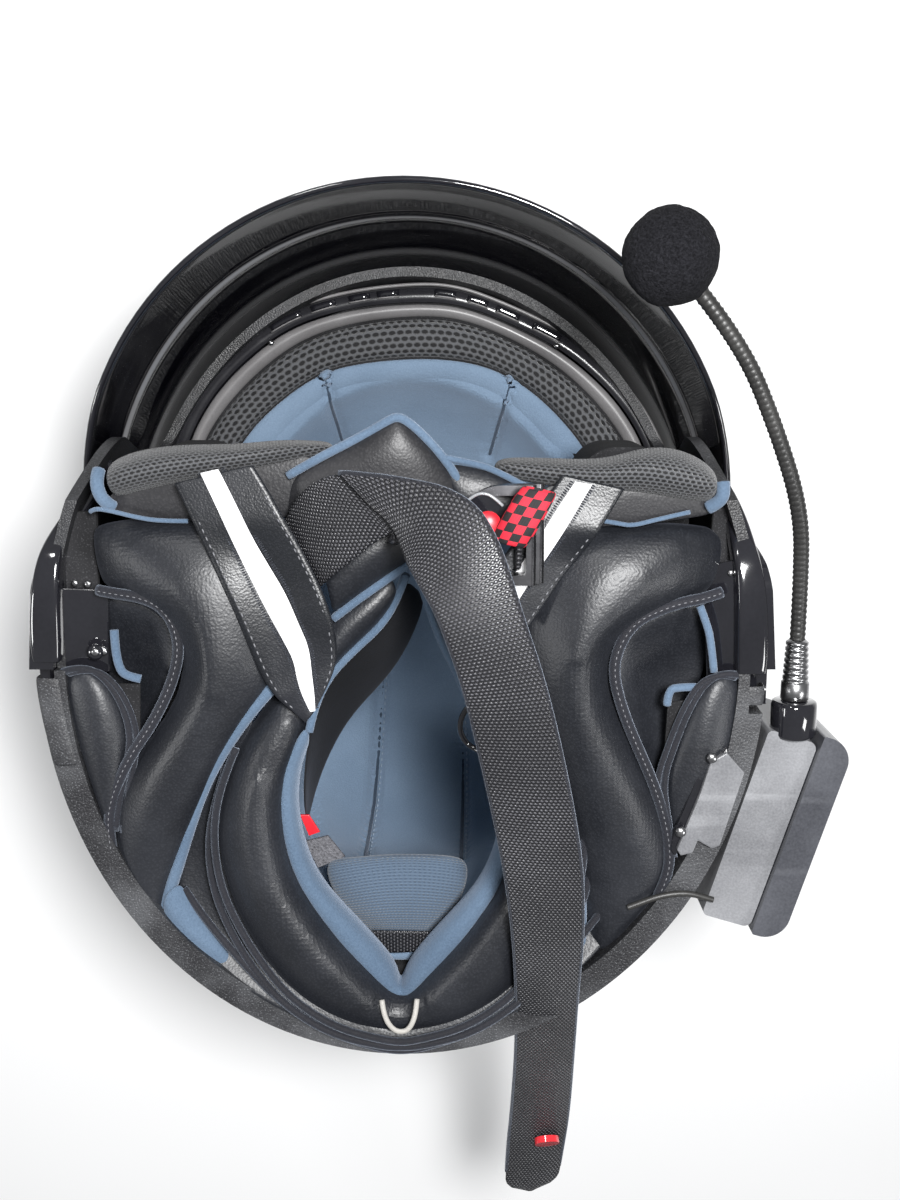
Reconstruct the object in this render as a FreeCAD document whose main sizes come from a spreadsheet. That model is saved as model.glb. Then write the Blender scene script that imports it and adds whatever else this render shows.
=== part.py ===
import FreeCAD, Part
import math
import os
import re
import Sketcher

# An open-face riding helmet, resting on its crown with the neck opening up.
# Frame: +Z up through the neck opening, +Y to the face, +X to the wearer's left.
# The origin is on the flat of the crown vent cover, on the plane of symmetry.
# All lengths are millimetres, all angles degrees.

os.makedirs("parts", exist_ok=True)
doc = FreeCAD.newDocument("helmet")

# Driving dimensions

SIZES = {
    # shell
    "shell_half_width": 130.5, "shell_half_length": 151.0, "shell_depth": 127.0,
    "shell_centre_y": 3.0, "equator_z": 134.0, "barrel_depth": 600.0,
    "shell_wall": 4.0, "rim_z": 236.0, "brow_z": 104.0,
    "brow_back_y": 64.0, "cheek_edge_y": 84.0, "cheek_corner_z": 206.0,
    "rim_front_y": 48.0, "brow_radius": 12.0, "corner_radius": 34.0,
    # flat recess in each side for the shield pivot
    "recess_half_width": "=shell_half_width - 6.5", "recess_floor": 3.0, "recess_back_y": -14.0,
    "recess_low_z": 62.0, "overrun": 20.0,
    # rim trim
    "trim_lip": 1.5, "trim_width": 10.0, "trim_height": 12.0, "trim_rise": 4.5,
    "trim_front_y": 2.0,
    # impact liner
    "fit_gap": 0.3, "visor_gap": 9.0, "foam_thickness": 31.0,
    "foam_inner_half_width": "=shell_half_width - 32.5",
    "foam_inner_half_length": "=shell_half_length - foam_thickness",
    "foam_side_half_width": "=shell_half_width - 14.5", "foam_front_z": 150.0, "foam_rear_y": -36.0,
    "foam_rear_z": 222.0, "comfort_thickness": 8.0, "seam_width": 2.4,
    "seam_depth": 2.0, "seam_spacing": 18.0, "brow_pad_height": 4.0, "brow_trim_width": 13.0,
    "brow_pad_back_y": 74.0,
    # face shield
    "shield_half_width": "=shell_half_width - 1.5", "shield_wall": 2.2, "shield_centre_y": 47.0,
    "shield_axis_y": -128.0, "shield_axis_z": 200.0,
    "pivot_y": 12.0, "pivot_z": 138.0, "ear_radius": 21.5, "pivot_pin_radius": 5.0,
    "running_gap": 0.06, "plate_radius": 19.0, "plate_thickness": 1.9,
    "shield_low_z": 217.0, "shield_top_z": 90.0,
    # side covers
    "cover_half_width": "=shell_half_width + 2.5", "cover_skin": 3.2, "cover_wall": 1.8,
    "cover_rim_z": 240.0, "cover_tip_y": 92.0, "cover_tip_z": 160.0,
    # sun visor
    "visor_half_width": "=shell_half_width - 11.3", "visor_wall": 2.0, "visor_reach": "=shell_half_length - 23.6",
    "visor_pivot_y": 20.0, "visor_pivot_z": 142.0, "visor_pin_radius": 3.0,
    # crown vent
    "vent_rise": 8.0, "vent_half_width": 32.0, "vent_half_length": 48.0,
    "vent_centre_y": 4.0, "vent_corner": 20.0,
    # cheek pads and neck roll
    "pad_outer_x": "=shell_half_width - 16.5", "pad_inner_x": 34.0, "pad_front_y": 86.0,
    "pad_low_z": 199.0, "pad_mid_z": 232.0, "pad_top_z": 245.0,
    "core_inner_x": 62.0, "speaker_z": 178.0,
    "roll_top_z": 248.0, "roll_front_y": -18.0,
    "notch_tip_y": "=29 - shell_half_length", "notch_half_width": 33.0,
    # straps
    "webbing_width": 25.0, "webbing_thickness": 2.2, "band_width": 30.0,
    "band_thickness": 1.6, "strip_width": 8.0, "strip_thickness": 0.5,
    # intercom
    "unit_length": 74.0, "cradle_thickness": 19.0, "unit_thickness": 12.0,
    "unit_low_z": 184.0, "unit_top_z": 240.7, "unit_x": "=shell_half_width - 10", "unit_y": -55.0,
    "cradle_stand_off": 0.4, "cradle_corner": 3.0, "cradle_root_corner": 2.0,
    "unit_corner": 9.0, "unit_root_corner": 1.0, "unit_over_front": 4.0, "unit_over_back": 1.0, "unit_over_end": 3.0,
    "button_radius": 6.2, "button_height": 2.6, "button_sink": 1.4, "button_along": 12.0, "button_rise": 36.0,
    "button_room_sink": 3.2, "button_room_gap": 0.2,
    "dial_radius": 9.2, "dial_height": 5.4, "dial_sink": 2.9, "dial_along": -16.0, "dial_rise": 30.0,
    "dial_room_sink": 3.0,
    "clamp_reach": 20.0, "clamp_out": 10.0, "clamp_half_root": 23.0, "clamp_half_tip": 17.0,
    "clamp_thickness": 3.0, "clamp_lift": 0.1, "clamp_corner": 4.0, "clamp_tip_corner": 3.0,
    "clamp_room_gap": 0.4, "clamp_room_sink": 0.2,
    "clamp_screw_radius": 3.4, "clamp_screw_height": 1.8, "clamp_screw_along": 15.0, "clamp_screw_in": 12.0,
    "collar_radius": 8.0, "collar_length": 14.0, "collar_out": 8.0, "collar_sink": 12.0,
    "ferrule_radius": 4.4, "ferrule_length": 18.0, "ferrule_gap": 0.2, "boom_sink": 5.0,
    "neck_radius": 2.6, "windscreen_radius": 15.0, "capsule_length": 12.0, "ball_rise": 14.5,
    "bore_sink": 12.9, "bore_rise": 12.1, "seat_gap": 0.05, "cable_radius": 1.1,
}

sheet = doc.addObject("Spreadsheet::Sheet", "Sizes")
for row, (alias, value) in enumerate(SIZES.items(), start=1):
    sheet.set("A%d" % row, alias)
    sheet.set("B%d" % row, str(value))
    sheet.setAlias("B%d" % row, alias)
doc.recompute()

WORD = re.compile(r"[a-z][a-z_]+")


def cell(text):
    """Turn words in an expression that are aliases into sheet references."""
    def swap(match):
        word = match.group(0)
        return "Sizes." + word if word in SIZES else word
    return WORD.sub(swap, str(text))


def bind(target, path, text):
    """Bind one property of an object to an expression of the sheet."""
    target.setExpression(path, cell(text))


def place(target, x="0", y="0", z="0"):
    """Bind the position of an object."""
    bind(target, "Placement.Base.x", x)
    bind(target, "Placement.Base.y", y)
    bind(target, "Placement.Base.z", z)


def turn(target, axis, angle):
    """Turn an object by an angle about an axis through its own base."""
    target.Placement.Rotation = FreeCAD.Rotation(FreeCAD.Vector(*axis), angle)


# Solid helpers

def box(name, low, high):
    """A box between two corners given as expressions."""
    solid = doc.addObject("Part::Box", name)
    for side, first, last in zip(("Length", "Width", "Height"), low, high):
        bind(solid, side, "(%s) - (%s)" % (last, first))
    place(solid, *low)
    return solid


def cylinder(name, radius, height, base=("0", "0", "0"), axis=(0, 0, 1)):
    """A cylinder from a base point along an axis."""
    solid = doc.addObject("Part::Cylinder", name)
    bind(solid, "Radius", radius)
    bind(solid, "Height", height)
    solid.Placement.Rotation = FreeCAD.Rotation(FreeCAD.Vector(0, 0, 1), FreeCAD.Vector(*axis))
    place(solid, *base)
    return solid


def ellipsoid(name, radii, centre):
    """An ellipsoid with half axes along X, Y and Z."""
    solid = doc.addObject("Part::Ellipsoid", name)
    bind(solid, "Radius2", radii[0])
    bind(solid, "Radius3", radii[1])
    bind(solid, "Radius1", radii[2])
    place(solid, *centre)
    return solid


def fuse(name, *shapes):
    """Join solids into one."""
    result = doc.addObject("Part::MultiFuse", name)
    result.Shapes = list(shapes)
    return result


def common(name, *shapes):
    """Keep what all solids share."""
    result = doc.addObject("Part::MultiCommon", name)
    result.Shapes = list(shapes)
    return result


def cut(name, base, *tools):
    """Take one or more solids from a base."""
    for number, tool in enumerate(tools):
        last = number == len(tools) - 1
        result = doc.addObject("Part::Cut", name if last else "%s_cut_%d" % (name, number))
        result.Base = base
        result.Tool = tool
        base = result
    return base


def compound(name, *shapes):
    """Group separate solids under one name."""
    result = doc.addObject("Part::Compound", name)
    result.Links = list(shapes)
    return result


def mirrored(name, source):
    """The same piece on the other side of the plane of symmetry."""
    result = doc.addObject("Part::Mirroring", name)
    result.Source = source
    result.Normal = (1, 0, 0)
    return result


def dome(name, half_width, half_length, depth, centre_y, top_z):
    """A bowl: a half ellipsoid below the equator and a steep barrel above it."""
    reach = "2 * shell_half_length"
    low = common(
        name + "_low",
        ellipsoid(name + "_low_form", (half_width, half_length, depth), ("0", centre_y, "equator_z")),
        box(name + "_low_box", ("-" + reach, "-" + reach, "-overrun"), (reach, reach, "equator_z")))
    high = common(
        name + "_high",
        ellipsoid(name + "_high_form", (half_width, half_length, "barrel_depth"),
                  ("0", centre_y, "equator_z")),
        box(name + "_high_box", ("-" + reach, "-" + reach, "equator_z"), (reach, reach, top_z)))
    return fuse(name, low, high)


def shell_dome(name, inset, top_z):
    """The shell's outer form, drawn in by an inset."""
    return dome(name, "shell_half_width - (%s)" % inset, "shell_half_length - (%s)" % inset,
                "shell_depth - (%s)" % inset, "shell_centre_y", top_z)


PLANES = {"plan": "XY_Plane", "side": "YZ_Plane", "front": "XZ_Plane"}


def value(text):
    """The present value of an expression of the sheet, used for first guesses."""
    probe = doc.getObject("Probe") or doc.addObject("App::FeaturePython", "Probe")
    if not hasattr(probe, "Answer"):
        probe.addProperty("App::PropertyFloat", "Answer")
    probe.setExpression("Answer", cell(text))
    probe.recompute()
    answer = probe.Answer
    probe.setExpression("Answer", None)
    return answer


def outline(body, plane, points, name):
    """A closed sketch through corner points, each (x, y) or (x, y, radius).

    Corners sit on dimensions bound to the sheet, and a radius rounds the
    corner with a tangent arc.
    """
    sketch = body.newObject("Sketcher::SketchObject", name)
    origin = [item for item in body.Origin.OriginFeatures if item.Role == PLANES[plane]][0]
    sketch.AttachmentSupport = [(origin, "")]
    sketch.MapMode = "FlatFace"
    corners = [FreeCAD.Vector(value(point[0]), value(point[1]), 0) for point in points]
    radii = [value(point[2]) if len(point) > 2 else 0 for point in points]
    count = len(points)
    entry, leave, arcs = [], [], {}
    for number, corner in enumerate(corners):
        back = (corners[number - 1] - corner).normalize()
        ahead = (corners[(number + 1) % count] - corner).normalize()
        if radii[number] > 0:
            half = back.getAngle(ahead) / 2
            run = radii[number] / math.tan(half)
            centre = corner + (back + ahead).normalize() * (radii[number] / math.sin(half))
            entry.append(corner + back * run)
            leave.append(corner + ahead * run)
            arcs[number] = centre
        else:
            entry.append(corner)
            leave.append(corner)
    lines = [sketch.addGeometry(Part.LineSegment(leave[number], entry[(number + 1) % count]))
             for number in range(count)]
    for number in range(count):
        before, after = lines[number - 1], lines[number]
        x, y = points[number][0], points[number][1]
        if number in arcs:
            centre = arcs[number]
            start = (entry[number] - centre)
            end = (leave[number] - centre)
            turning = (start.x * end.y - start.y * end.x) > 0
            first, second = (start, end) if turning else (end, start)
            angles = [math.atan2(item.y, item.x) for item in (first, second)]
            circle = Part.Circle(centre, FreeCAD.Vector(0, 0, 1), radii[number])
            arc = sketch.addGeometry(Part.ArcOfCircle(circle, angles[0], angles[1]))
            sketch.addConstraint(Sketcher.Constraint("Tangent", before, 2, arc, 1 if turning else 2))
            sketch.addConstraint(Sketcher.Constraint("Tangent", after, 1, arc, 2 if turning else 1))
            size = sketch.addConstraint(Sketcher.Constraint("Radius", arc, radii[number]))
            bind(sketch, "Constraints[%d]" % size, points[number][2])
            mark = sketch.addGeometry(Part.Point(corners[number]), True)
            sketch.addConstraint(Sketcher.Constraint("PointOnObject", mark, 1, before))
            sketch.addConstraint(Sketcher.Constraint("PointOnObject", mark, 1, after))
            spot = (mark, 1)
        else:
            sketch.addConstraint(Sketcher.Constraint("Coincident", before, 2, after, 1))
            spot = (after, 1)
        for kind, text, at in (("DistanceX", x, corners[number].x), ("DistanceY", y, corners[number].y)):
            index = sketch.addConstraint(Sketcher.Constraint(kind, -1, 1, spot[0], spot[1], at))
            bind(sketch, "Constraints[%d]" % index, text)
    return sketch


def prism(name, plane, points, low, high):
    """A body padded from an outline, between two heights over its plane."""
    body = doc.addObject("PartDesign::Body", name)
    sketch = outline(body, plane, points, name + "_outline")
    bind(sketch, "AttachmentOffset.Base.z", low)
    pad = body.newObject("PartDesign::Pad", name + "_pad")
    pad.Profile = sketch
    bind(pad, "Length", "(%s) - (%s)" % (high, low))
    return body


def cushion(name, points, centre, levels):
    """A soft block lofted through one outline at several heights.

    Each level is (height, share): the outline shrinks toward the centre by
    the share, which gives the crown and the drawn-in sides.
    """
    body = doc.addObject("PartDesign::Body", name)
    sketches = []
    for number, (height, share) in enumerate(levels):
        scaled = []
        for point in points:
            item = ["(%s) + %s * ((%s) - (%s))" % (centre[axis], share, point[axis], centre[axis])
                    for axis in (0, 1)]
            if len(point) > 2:
                item.append("%s * (%s)" % (share, point[2]))
            scaled.append(tuple(item))
        sketch = outline(body, "plan", scaled, "%s_level_%d" % (name, number))
        bind(sketch, "AttachmentOffset.Base.z", height)
        sketches.append(sketch)
    loft = body.newObject("PartDesign::AdditiveLoft", name + "_loft")
    loft.Profile = sketches[0]
    loft.Sections = sketches[1:]
    loft.Ruled = True
    return body


NODES = {}


def node(name, shape):
    """Give a finished piece its name."""
    shape.Label = name
    NODES[name] = shape
    return shape


# Outer shell: a bowl with flat pivot recesses and a face opening

REACH = "2 * shell_half_length"


def side_boxes(name, inner_x, back_y, low_z):
    """A pair of boxes that flatten both sides outside a given width."""
    left = box(name + "_left", (inner_x, back_y, low_z), (REACH, REACH, REACH))
    right = box(name + "_right", ("-" + REACH, back_y, low_z), ("-(%s)" % inner_x, REACH, REACH))
    return left, right


face_cut = prism(
    "face_cut", "side",
    [(REACH, "brow_z"), ("brow_back_y", "brow_z", "brow_radius"),
     ("cheek_edge_y", "cheek_corner_z", "corner_radius"), ("rim_front_y", "rim_z + overrun"),
     (REACH, "rim_z + overrun")],
    "-" + REACH, REACH)

cavity = shell_dome("shell_cavity_form", "shell_wall", "rim_z + overrun")
cavity = cut("shell_cavity", cavity,
             *side_boxes("recess_keep", "recess_half_width - recess_floor",
                         "recess_back_y - shell_wall", "recess_low_z - shell_wall"))
outer_shell = node("outer_shell", cut(
    "outer_shell_form", shell_dome("shell_outside", "0", "rim_z"), cavity,
    *side_boxes("recess", "recess_half_width", "recess_back_y", "recess_low_z"), face_cut))

# Matte trim that caps the rim round the back

trim_ring = cut("trim_ring", shell_dome("trim_outside", "-trim_lip", "rim_z + trim_rise"),
                shell_dome("trim_inside", "trim_width - trim_lip", "rim_z + overrun"))
trim_keep = box("trim_keep", ("-" + REACH, "-" + REACH, "rim_z + trim_rise - trim_height"),
                (REACH, "trim_front_y", "rim_z + trim_rise"))
rear_edge_trim = node("rear_edge_trim", cut(
    "rear_edge_trim_form", common("trim_band", trim_ring, trim_keep), outer_shell,
    *side_boxes("trim_side", "recess_half_width", "recess_back_y", "0")))

# Impact liner with its slot for the sun visor

FOAM_INSET = "shell_wall + fit_gap"
FOAM_CENTRE = "shell_centre_y - visor_gap / 2"


def foam_dome(name, inset, top_z):
    """The impact liner's outer form, drawn in by an inset."""
    return dome(name, "shell_half_width - (%s)" % inset,
                "shell_half_length - visor_gap / 2 - (%s)" % inset,
                "shell_depth - (%s)" % inset, FOAM_CENTRE, top_z)


def hollow_dome(name, inset, top_z):
    """The impact liner's inner form, drawn in by an inset."""
    return dome(name, "foam_inner_half_width - (%s)" % inset,
                "foam_inner_half_length - (%s)" % inset,
                "shell_depth - shell_wall - foam_thickness - (%s)" % inset, FOAM_CENTRE, top_z)


def visor_ring(name, inner, outer):
    """A ring turned about the sun visor's axis, between two reaches."""
    body = doc.addObject("PartDesign::Body", name)
    far = "visor_reach + (%s)" % outer
    wide = "visor_half_width + (%s)" % outer
    near = "visor_reach - visor_wall - (%s)" % inner
    thin = "visor_half_width - visor_wall - (%s)" % inner
    sketch = outline(body, "plan", [
        (wide, "0"), (wide, far, "visor_half_width + (%s) - fit_gap" % outer),
        ("-(%s)" % wide, far, "visor_half_width + (%s) - fit_gap" % outer), ("-(%s)" % wide, "0"),
        ("-(%s)" % thin, "0"), ("-(%s)" % thin, near, "visor_half_width - visor_wall - (%s) - fit_gap" % inner),
        (thin, near, "visor_half_width - visor_wall - (%s) - fit_gap" % inner), (thin, "0")],
        name + "_outline")
    axis = [item for item in body.Origin.OriginFeatures if item.Role == "X_Axis"][0]
    spin = body.newObject("PartDesign::Revolution", name + "_spin")
    spin.Profile = sketch
    spin.ReferenceAxis = (axis, [""])
    spin.Angle = 150
    spin.Midplane = True
    place(body, "0", "visor_pivot_y", "visor_pivot_z")
    return body


foam_front = box("foam_front", ("-" + REACH, "foam_rear_y", "foam_front_z"), (REACH, REACH, REACH))
foam_face = prism(
    "foam_face", "side",
    [(REACH, "brow_z - brow_pad_height"),
     ("brow_back_y - brow_pad_height", "brow_z - brow_pad_height", "brow_radius"),
     ("cheek_edge_y - brow_pad_height", "cheek_corner_z"), (REACH, "cheek_corner_z")],
    "-" + REACH, REACH)
visor_slot = visor_ring("visor_slot", "1.2 * visor_wall / 2", "2 * visor_wall")
impact_liner = node("impact_liner", cut(
    "impact_liner_form", foam_dome("foam_outside", FOAM_INSET, "foam_rear_z"), outer_shell,
    hollow_dome("foam_inside", "0", "rim_z + overrun"), foam_front, foam_face,
    visor_slot,
    *side_boxes("foam_side", "foam_side_half_width", "recess_back_y - 2 * shell_wall",
                "recess_low_z - 2 * shell_wall")))

# Comfort liner: a padded cap with sewn channels

def spoke(name, angle, offset="0"):
    """A thin upright slab that runs out from the middle at an angle in plan."""
    slab = doc.addObject("Part::Box", name)
    bind(slab, "Length", REACH)
    bind(slab, "Width", "seam_width")
    bind(slab, "Height", "rim_z")
    turn(slab, (0, 0, 1), angle)
    place(slab, "seam_width / 2 * sin(%s deg) + (%s)" % (angle, offset),
          "-seam_width / 2 * cos(%s deg)" % angle, "0")
    return slab


SEAMS = [(66, "0"), (114, "0"), (24, "0"), (156, "0"), (-90, "seam_spacing"), (-90, "-seam_spacing"),
         (-35, "0"), (-145, "0")]
channels = common(
    "channels",
    fuse("channel_slabs", *[spoke("channel_%d" % number, angle, offset)
                            for number, (angle, offset) in enumerate(SEAMS)]),
    hollow_dome("channel_form", "comfort_thickness - seam_depth", "rim_z"))
crown_liner = node("crown_liner", cut(
    "crown_liner_form", hollow_dome("liner_outside", "fit_gap", "foam_rear_z"),
    hollow_dome("liner_inside", "comfort_thickness", "rim_z + overrun"), channels,
    box("liner_front", ("-" + REACH, "foam_rear_y", "foam_front_z"), (REACH, REACH, REACH)),
    foam_face))

# Brow trim and mesh band: two crescents on the liner's brow face

brow_slab = box("brow_slab", ("-" + REACH, "brow_pad_back_y", "brow_z - brow_pad_height + fit_gap"),
                (REACH, REACH, "brow_z"))
brow_trim = node("brow_trim", cut("brow_trim_form", common("brow_trim_arc", cut(
    "brow_trim_ring", foam_dome("brow_trim_outside", FOAM_INSET, "rim_z"),
    foam_dome("brow_trim_inside", FOAM_INSET + " + brow_trim_width", "rim_z")), brow_slab), visor_slot))
brow_mesh_band = node("brow_mesh_band", common("brow_mesh_form", cut(
    "brow_mesh_ring", foam_dome("brow_mesh_outside", FOAM_INSET + " + brow_trim_width + fit_gap", "rim_z"),
    hollow_dome("brow_mesh_inside", "comfort_thickness", "rim_z")), brow_slab))

# Face shield: a ring turned about a far axis, trimmed to its side outline

shield_ring = doc.addObject("PartDesign::Body", "shield_ring")
FAR = "shield_centre_y - shield_axis_y"
shield_plan = outline(shield_ring, "plan", [
    ("shield_half_width", "recess_back_y - shield_axis_y"),
    ("shield_half_width", FAR + " + shield_half_width", "shield_half_width - fit_gap"),
    ("-shield_half_width", FAR + " + shield_half_width", "shield_half_width - fit_gap"),
    ("-shield_half_width", "recess_back_y - shield_axis_y"),
    ("shield_wall - shield_half_width", "recess_back_y - shield_axis_y"),
    ("shield_wall - shield_half_width", FAR + " + shield_half_width - shield_wall",
     "shield_half_width - shield_wall - fit_gap"),
    ("shield_half_width - shield_wall", FAR + " + shield_half_width - shield_wall",
     "shield_half_width - shield_wall - fit_gap"),
    ("shield_half_width - shield_wall", "recess_back_y - shield_axis_y")], "shield_plan")
shield_spin = shield_ring.newObject("PartDesign::Revolution", "shield_spin")
shield_spin.Profile = shield_plan
shield_spin.ReferenceAxis = ([item for item in shield_ring.Origin.OriginFeatures
                              if item.Role == "X_Axis"][0], [""])
shield_spin.Angle = 100
shield_spin.Midplane = True
place(shield_ring, "0", "shield_axis_y", "shield_axis_z")
shield_side = prism("shield_side", "side", [
    (REACH, "shield_low_z"), ("pivot_y + 84", "pivot_z + 50", "60"),
    ("pivot_y - ear_radius", "pivot_z + ear_radius", "ear_radius - fit_gap"),
    ("pivot_y - ear_radius", "pivot_z - ear_radius", "ear_radius - fit_gap"),
    ("pivot_y + 58", "pivot_z - 28", "80"), (REACH, "shield_top_z")], "-" + REACH, REACH)
shield_hole = cylinder("shield_hole", "pivot_pin_radius + running_gap", "2 * " + REACH,
                       ("-" + REACH, "pivot_y", "pivot_z"), (1, 0, 0))
face_shield = node("face_shield", cut(
    "face_shield_form", common("shield_trimmed", shield_ring, shield_side), shield_hole))

# Shield pivots: a disc on the recess floor with the pin that the shield turns on


def pivot_side(side, sign):
    """One pivot plate with its pin."""
    direction = (sign, 0, 0)
    floor_x = "%d * (recess_half_width + fit_gap / 3)" % sign
    disc = cylinder("disc_" + side, "plate_radius", "plate_thickness",
                    (floor_x, "pivot_y", "pivot_z"), direction)
    pin = cylinder("pin_" + side, "pivot_pin_radius", "shield_half_width - recess_half_width",
                   (floor_x, "pivot_y", "pivot_z"), direction)
    node("pivot_plate_" + side, fuse("pivot_plate_form_" + side, disc, pin))


for side, sign in (("left", 1), ("right", -1)):
    pivot_side(side, sign)

cover_plan = prism("cover_plan", "plan", [
    ("shield_half_width + fit_gap * 2", "recess_back_y + fit_gap"),
    ("cover_half_width", "recess_back_y + fit_gap"), ("cover_half_width", "rim_front_y", "80"),
    ("cover_half_width - cover_skin / 2", "cover_tip_y + fit_gap"),
    ("shield_half_width + fit_gap * 2", "cover_tip_y + fit_gap")], "0", "rim_z + overrun")
cover_walls = fuse(
    "cover_walls", cover_plan,
    box("cover_back_wall", ("recess_half_width + fit_gap", "recess_back_y + fit_gap", "0"),
        ("cover_half_width - fit_gap", "recess_back_y + cover_wall", "rim_z + overrun")),
    box("cover_rim_wall", ("recess_half_width + fit_gap", "recess_back_y + fit_gap",
                           "cover_rim_z - 1.2 * trim_height"),
        ("cover_half_width - fit_gap", "rim_front_y", "rim_z + overrun")))
cover_side = prism("cover_side", "side", [
    ("recess_back_y + fit_gap", "rim_z + trim_rise - trim_height - fit_gap"),
    ("trim_front_y + fit_gap", "rim_z + trim_rise - trim_height - fit_gap"),
    ("trim_front_y + fit_gap", "cover_rim_z"), ("rim_front_y", "cover_rim_z", "24"),
    ("cover_tip_y", "cover_tip_z + 12", "10"), ("cover_tip_y", "cover_tip_z - 14", "8"),
    ("pivot_y + 30", "pivot_z - 30", "24"),
    ("recess_back_y + fit_gap", "pivot_z - 24", "12")], "-" + REACH, REACH)
side_cover_left = node("side_cover_left", common("side_cover_left_form", cover_walls, cover_side))
side_cover_right = node("side_cover_right", mirrored("side_cover_right_form", side_cover_left))

# Sun visor: a lens that turns on its own pivots between liner and shell

visor_body = visor_ring("visor_ring", "0", "0")
visor_side = prism("visor_side", "side", [
    ("visor_pivot_y - 9", "visor_pivot_z + 9", "8"), ("visor_pivot_y - 9", "visor_pivot_z - 9", "8"),
    ("visor_pivot_y + 24", "visor_pivot_z - 34", "20"),
    ("visor_pivot_y + 56", "visor_pivot_z - 92", "12"), (REACH, "visor_pivot_z - 92"),
    (REACH, "brow_z + 1"), ("visor_pivot_y + 74", "brow_z + 12", "30")], "-" + REACH, REACH)
visor_hole = cylinder("visor_hole", "visor_pin_radius + running_gap", "2 * " + REACH,
                      ("-" + REACH, "visor_pivot_y", "visor_pivot_z"), (1, 0, 0))
sun_visor = node("sun_visor", cut(
    "sun_visor_form", common("visor_trimmed", visor_body, visor_side), visor_hole))
visor_pins = []
for side, sign in (("left", 1), ("right", -1)):
    visor_pins.append(cylinder(
        "visor_pin_" + side, "visor_pin_radius", "recess_half_width - recess_floor - foam_side_half_width",
        ("%d * (recess_half_width - recess_floor)" % sign, "visor_pivot_y", "visor_pivot_z"),
        (-sign, 0, 0)))
node("visor_pins", compound("visor_pins_form", *visor_pins))

# Crown vent: a shallow cover with a flat to rest on, and its slider

vent_plan = prism("vent_plan", "plan", [
    ("vent_half_width", "vent_centre_y - vent_half_length", "vent_corner"),
    ("vent_half_width", "vent_centre_y + vent_half_length", "vent_corner"),
    ("-vent_half_width", "vent_centre_y + vent_half_length", "vent_corner"),
    ("-vent_half_width", "vent_centre_y - vent_half_length", "vent_corner")], "0", "equator_z")
slider_room = box("slider_room", ("-9", "vent_centre_y + 26", "-overrun"),
                  ("9", "vent_centre_y + 46", "overrun + 8"))
crown_vent = node("crown_vent", cut("crown_vent_form", common(
    "vent_cap", vent_plan, cut("vent_ring", shell_dome("vent_outside", "-vent_rise", "rim_z"),
                               shell_dome("vent_inside", "-fit_gap / 3", "rim_z"))), slider_room))
slider = cut("slider_body", common(
    "slider_block", shell_dome("slider_outside", "-vent_rise * 0.8", "rim_z"),
    box("slider_box", ("-8.6", "vent_centre_y + 26.6", "-overrun"),
        ("8.6", "vent_centre_y + 38", "overrun + 8"))),
    shell_dome("slider_inside", "-vent_rise * 0.25", "rim_z"))
vent_slider = node("vent_slider", slider)

# Rear vent: a low scoop on the back of the shell

rear_vent = node("rear_vent", common("rear_vent_form", cut(
    "rear_vent_ring", shell_dome("rear_vent_outside", "-vent_rise * 0.7", "rim_z"),
    shell_dome("rear_vent_inside", "-fit_gap / 3", "rim_z")), prism("rear_vent_front", "front", [
        ("34", "74", "8"), ("22", "104", "8"), ("-22", "104", "8"), ("-34", "74", "8")], "60", REACH)))

# Cheek pads: a puffed top pad with a bite at the ear, over a firm core

PAD_CENTRE = ("75", "28")
PAD_POINTS = [
    ("pad_inner_x + 7", "-10", "5"), ("50", "-11", "6"), ("65", "-40", "30"), ("76", "-64", "30"),
    ("81", "-86", "4"), ("93", "-84", "5"), ("104.5", "-62", "20"), ("109", "foam_rear_y - 4", "5"),
    ("88", "foam_rear_y - 1", "6"), ("85", "-4", "14"), ("92", "24", "10"), ("pad_outer_x", "28", "8"),
    ("pad_outer_x", "60", "18"), ("100", "pad_front_y", "12"), ("pad_inner_x", "pad_front_y", "12"),
    ("pad_inner_x - 2", "36", "30")]
cheek_pad_body = cut("cheek_pad_body", cushion(
    "cheek_pad_cushion", PAD_POINTS, PAD_CENTRE,
    [("pad_low_z", "0.94"), ("pad_mid_z", "1"), ("pad_mid_z + 9", "0.96"), ("pad_top_z", "0.84")]),
    box("pad_tail_below", ("-" + REACH, "-" + REACH, "-" + REACH),
        (REACH, "foam_rear_y + fit_gap", "foam_rear_z + fit_gap")))
cheek_pad_right = node("cheek_pad_right", mirrored("cheek_pad_right_form", cheek_pad_body))

CORE_CENTRE = ("86", "24")
CORE_POINTS = [
    ("core_inner_x", "-28", "10"), ("96", "-28", "8"), ("107", "0", "20"), ("108", "56", "20"),
    ("94", "78", "12"), ("core_inner_x + 4", "78", "14")]
cheek_core_left = node("cheek_core_left", cushion(
    "cheek_core_left_form", CORE_POINTS, CORE_CENTRE,
    [("foam_front_z + fit_gap", "0.86"), ("foam_front_z + 9", "1"), ("pad_low_z - fit_gap", "1")]))
cheek_core_right = node("cheek_core_right", mirrored("cheek_core_right_form", cheek_core_left))

EAR_POINTS = [("94", "-30", "5"), ("112", "-30", "5"), ("120.7", "-8", "8"), ("120.7", "20", "5"),
              ("98", "18", "5"), ("91", "-4", "10")]
ear_foam_left = node("ear_foam_left", cushion(
    "ear_foam_left_form", EAR_POINTS, ("106", "-5"),
    [("pad_low_z + fit_gap", "1"), ("pad_mid_z - 8", "1"), ("pad_mid_z - 5", "0.9")]))
ear_foam_right = node("ear_foam_right", mirrored("ear_foam_right_form", ear_foam_left))

# Speakers: flat discs in the ear space behind the cores


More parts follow.
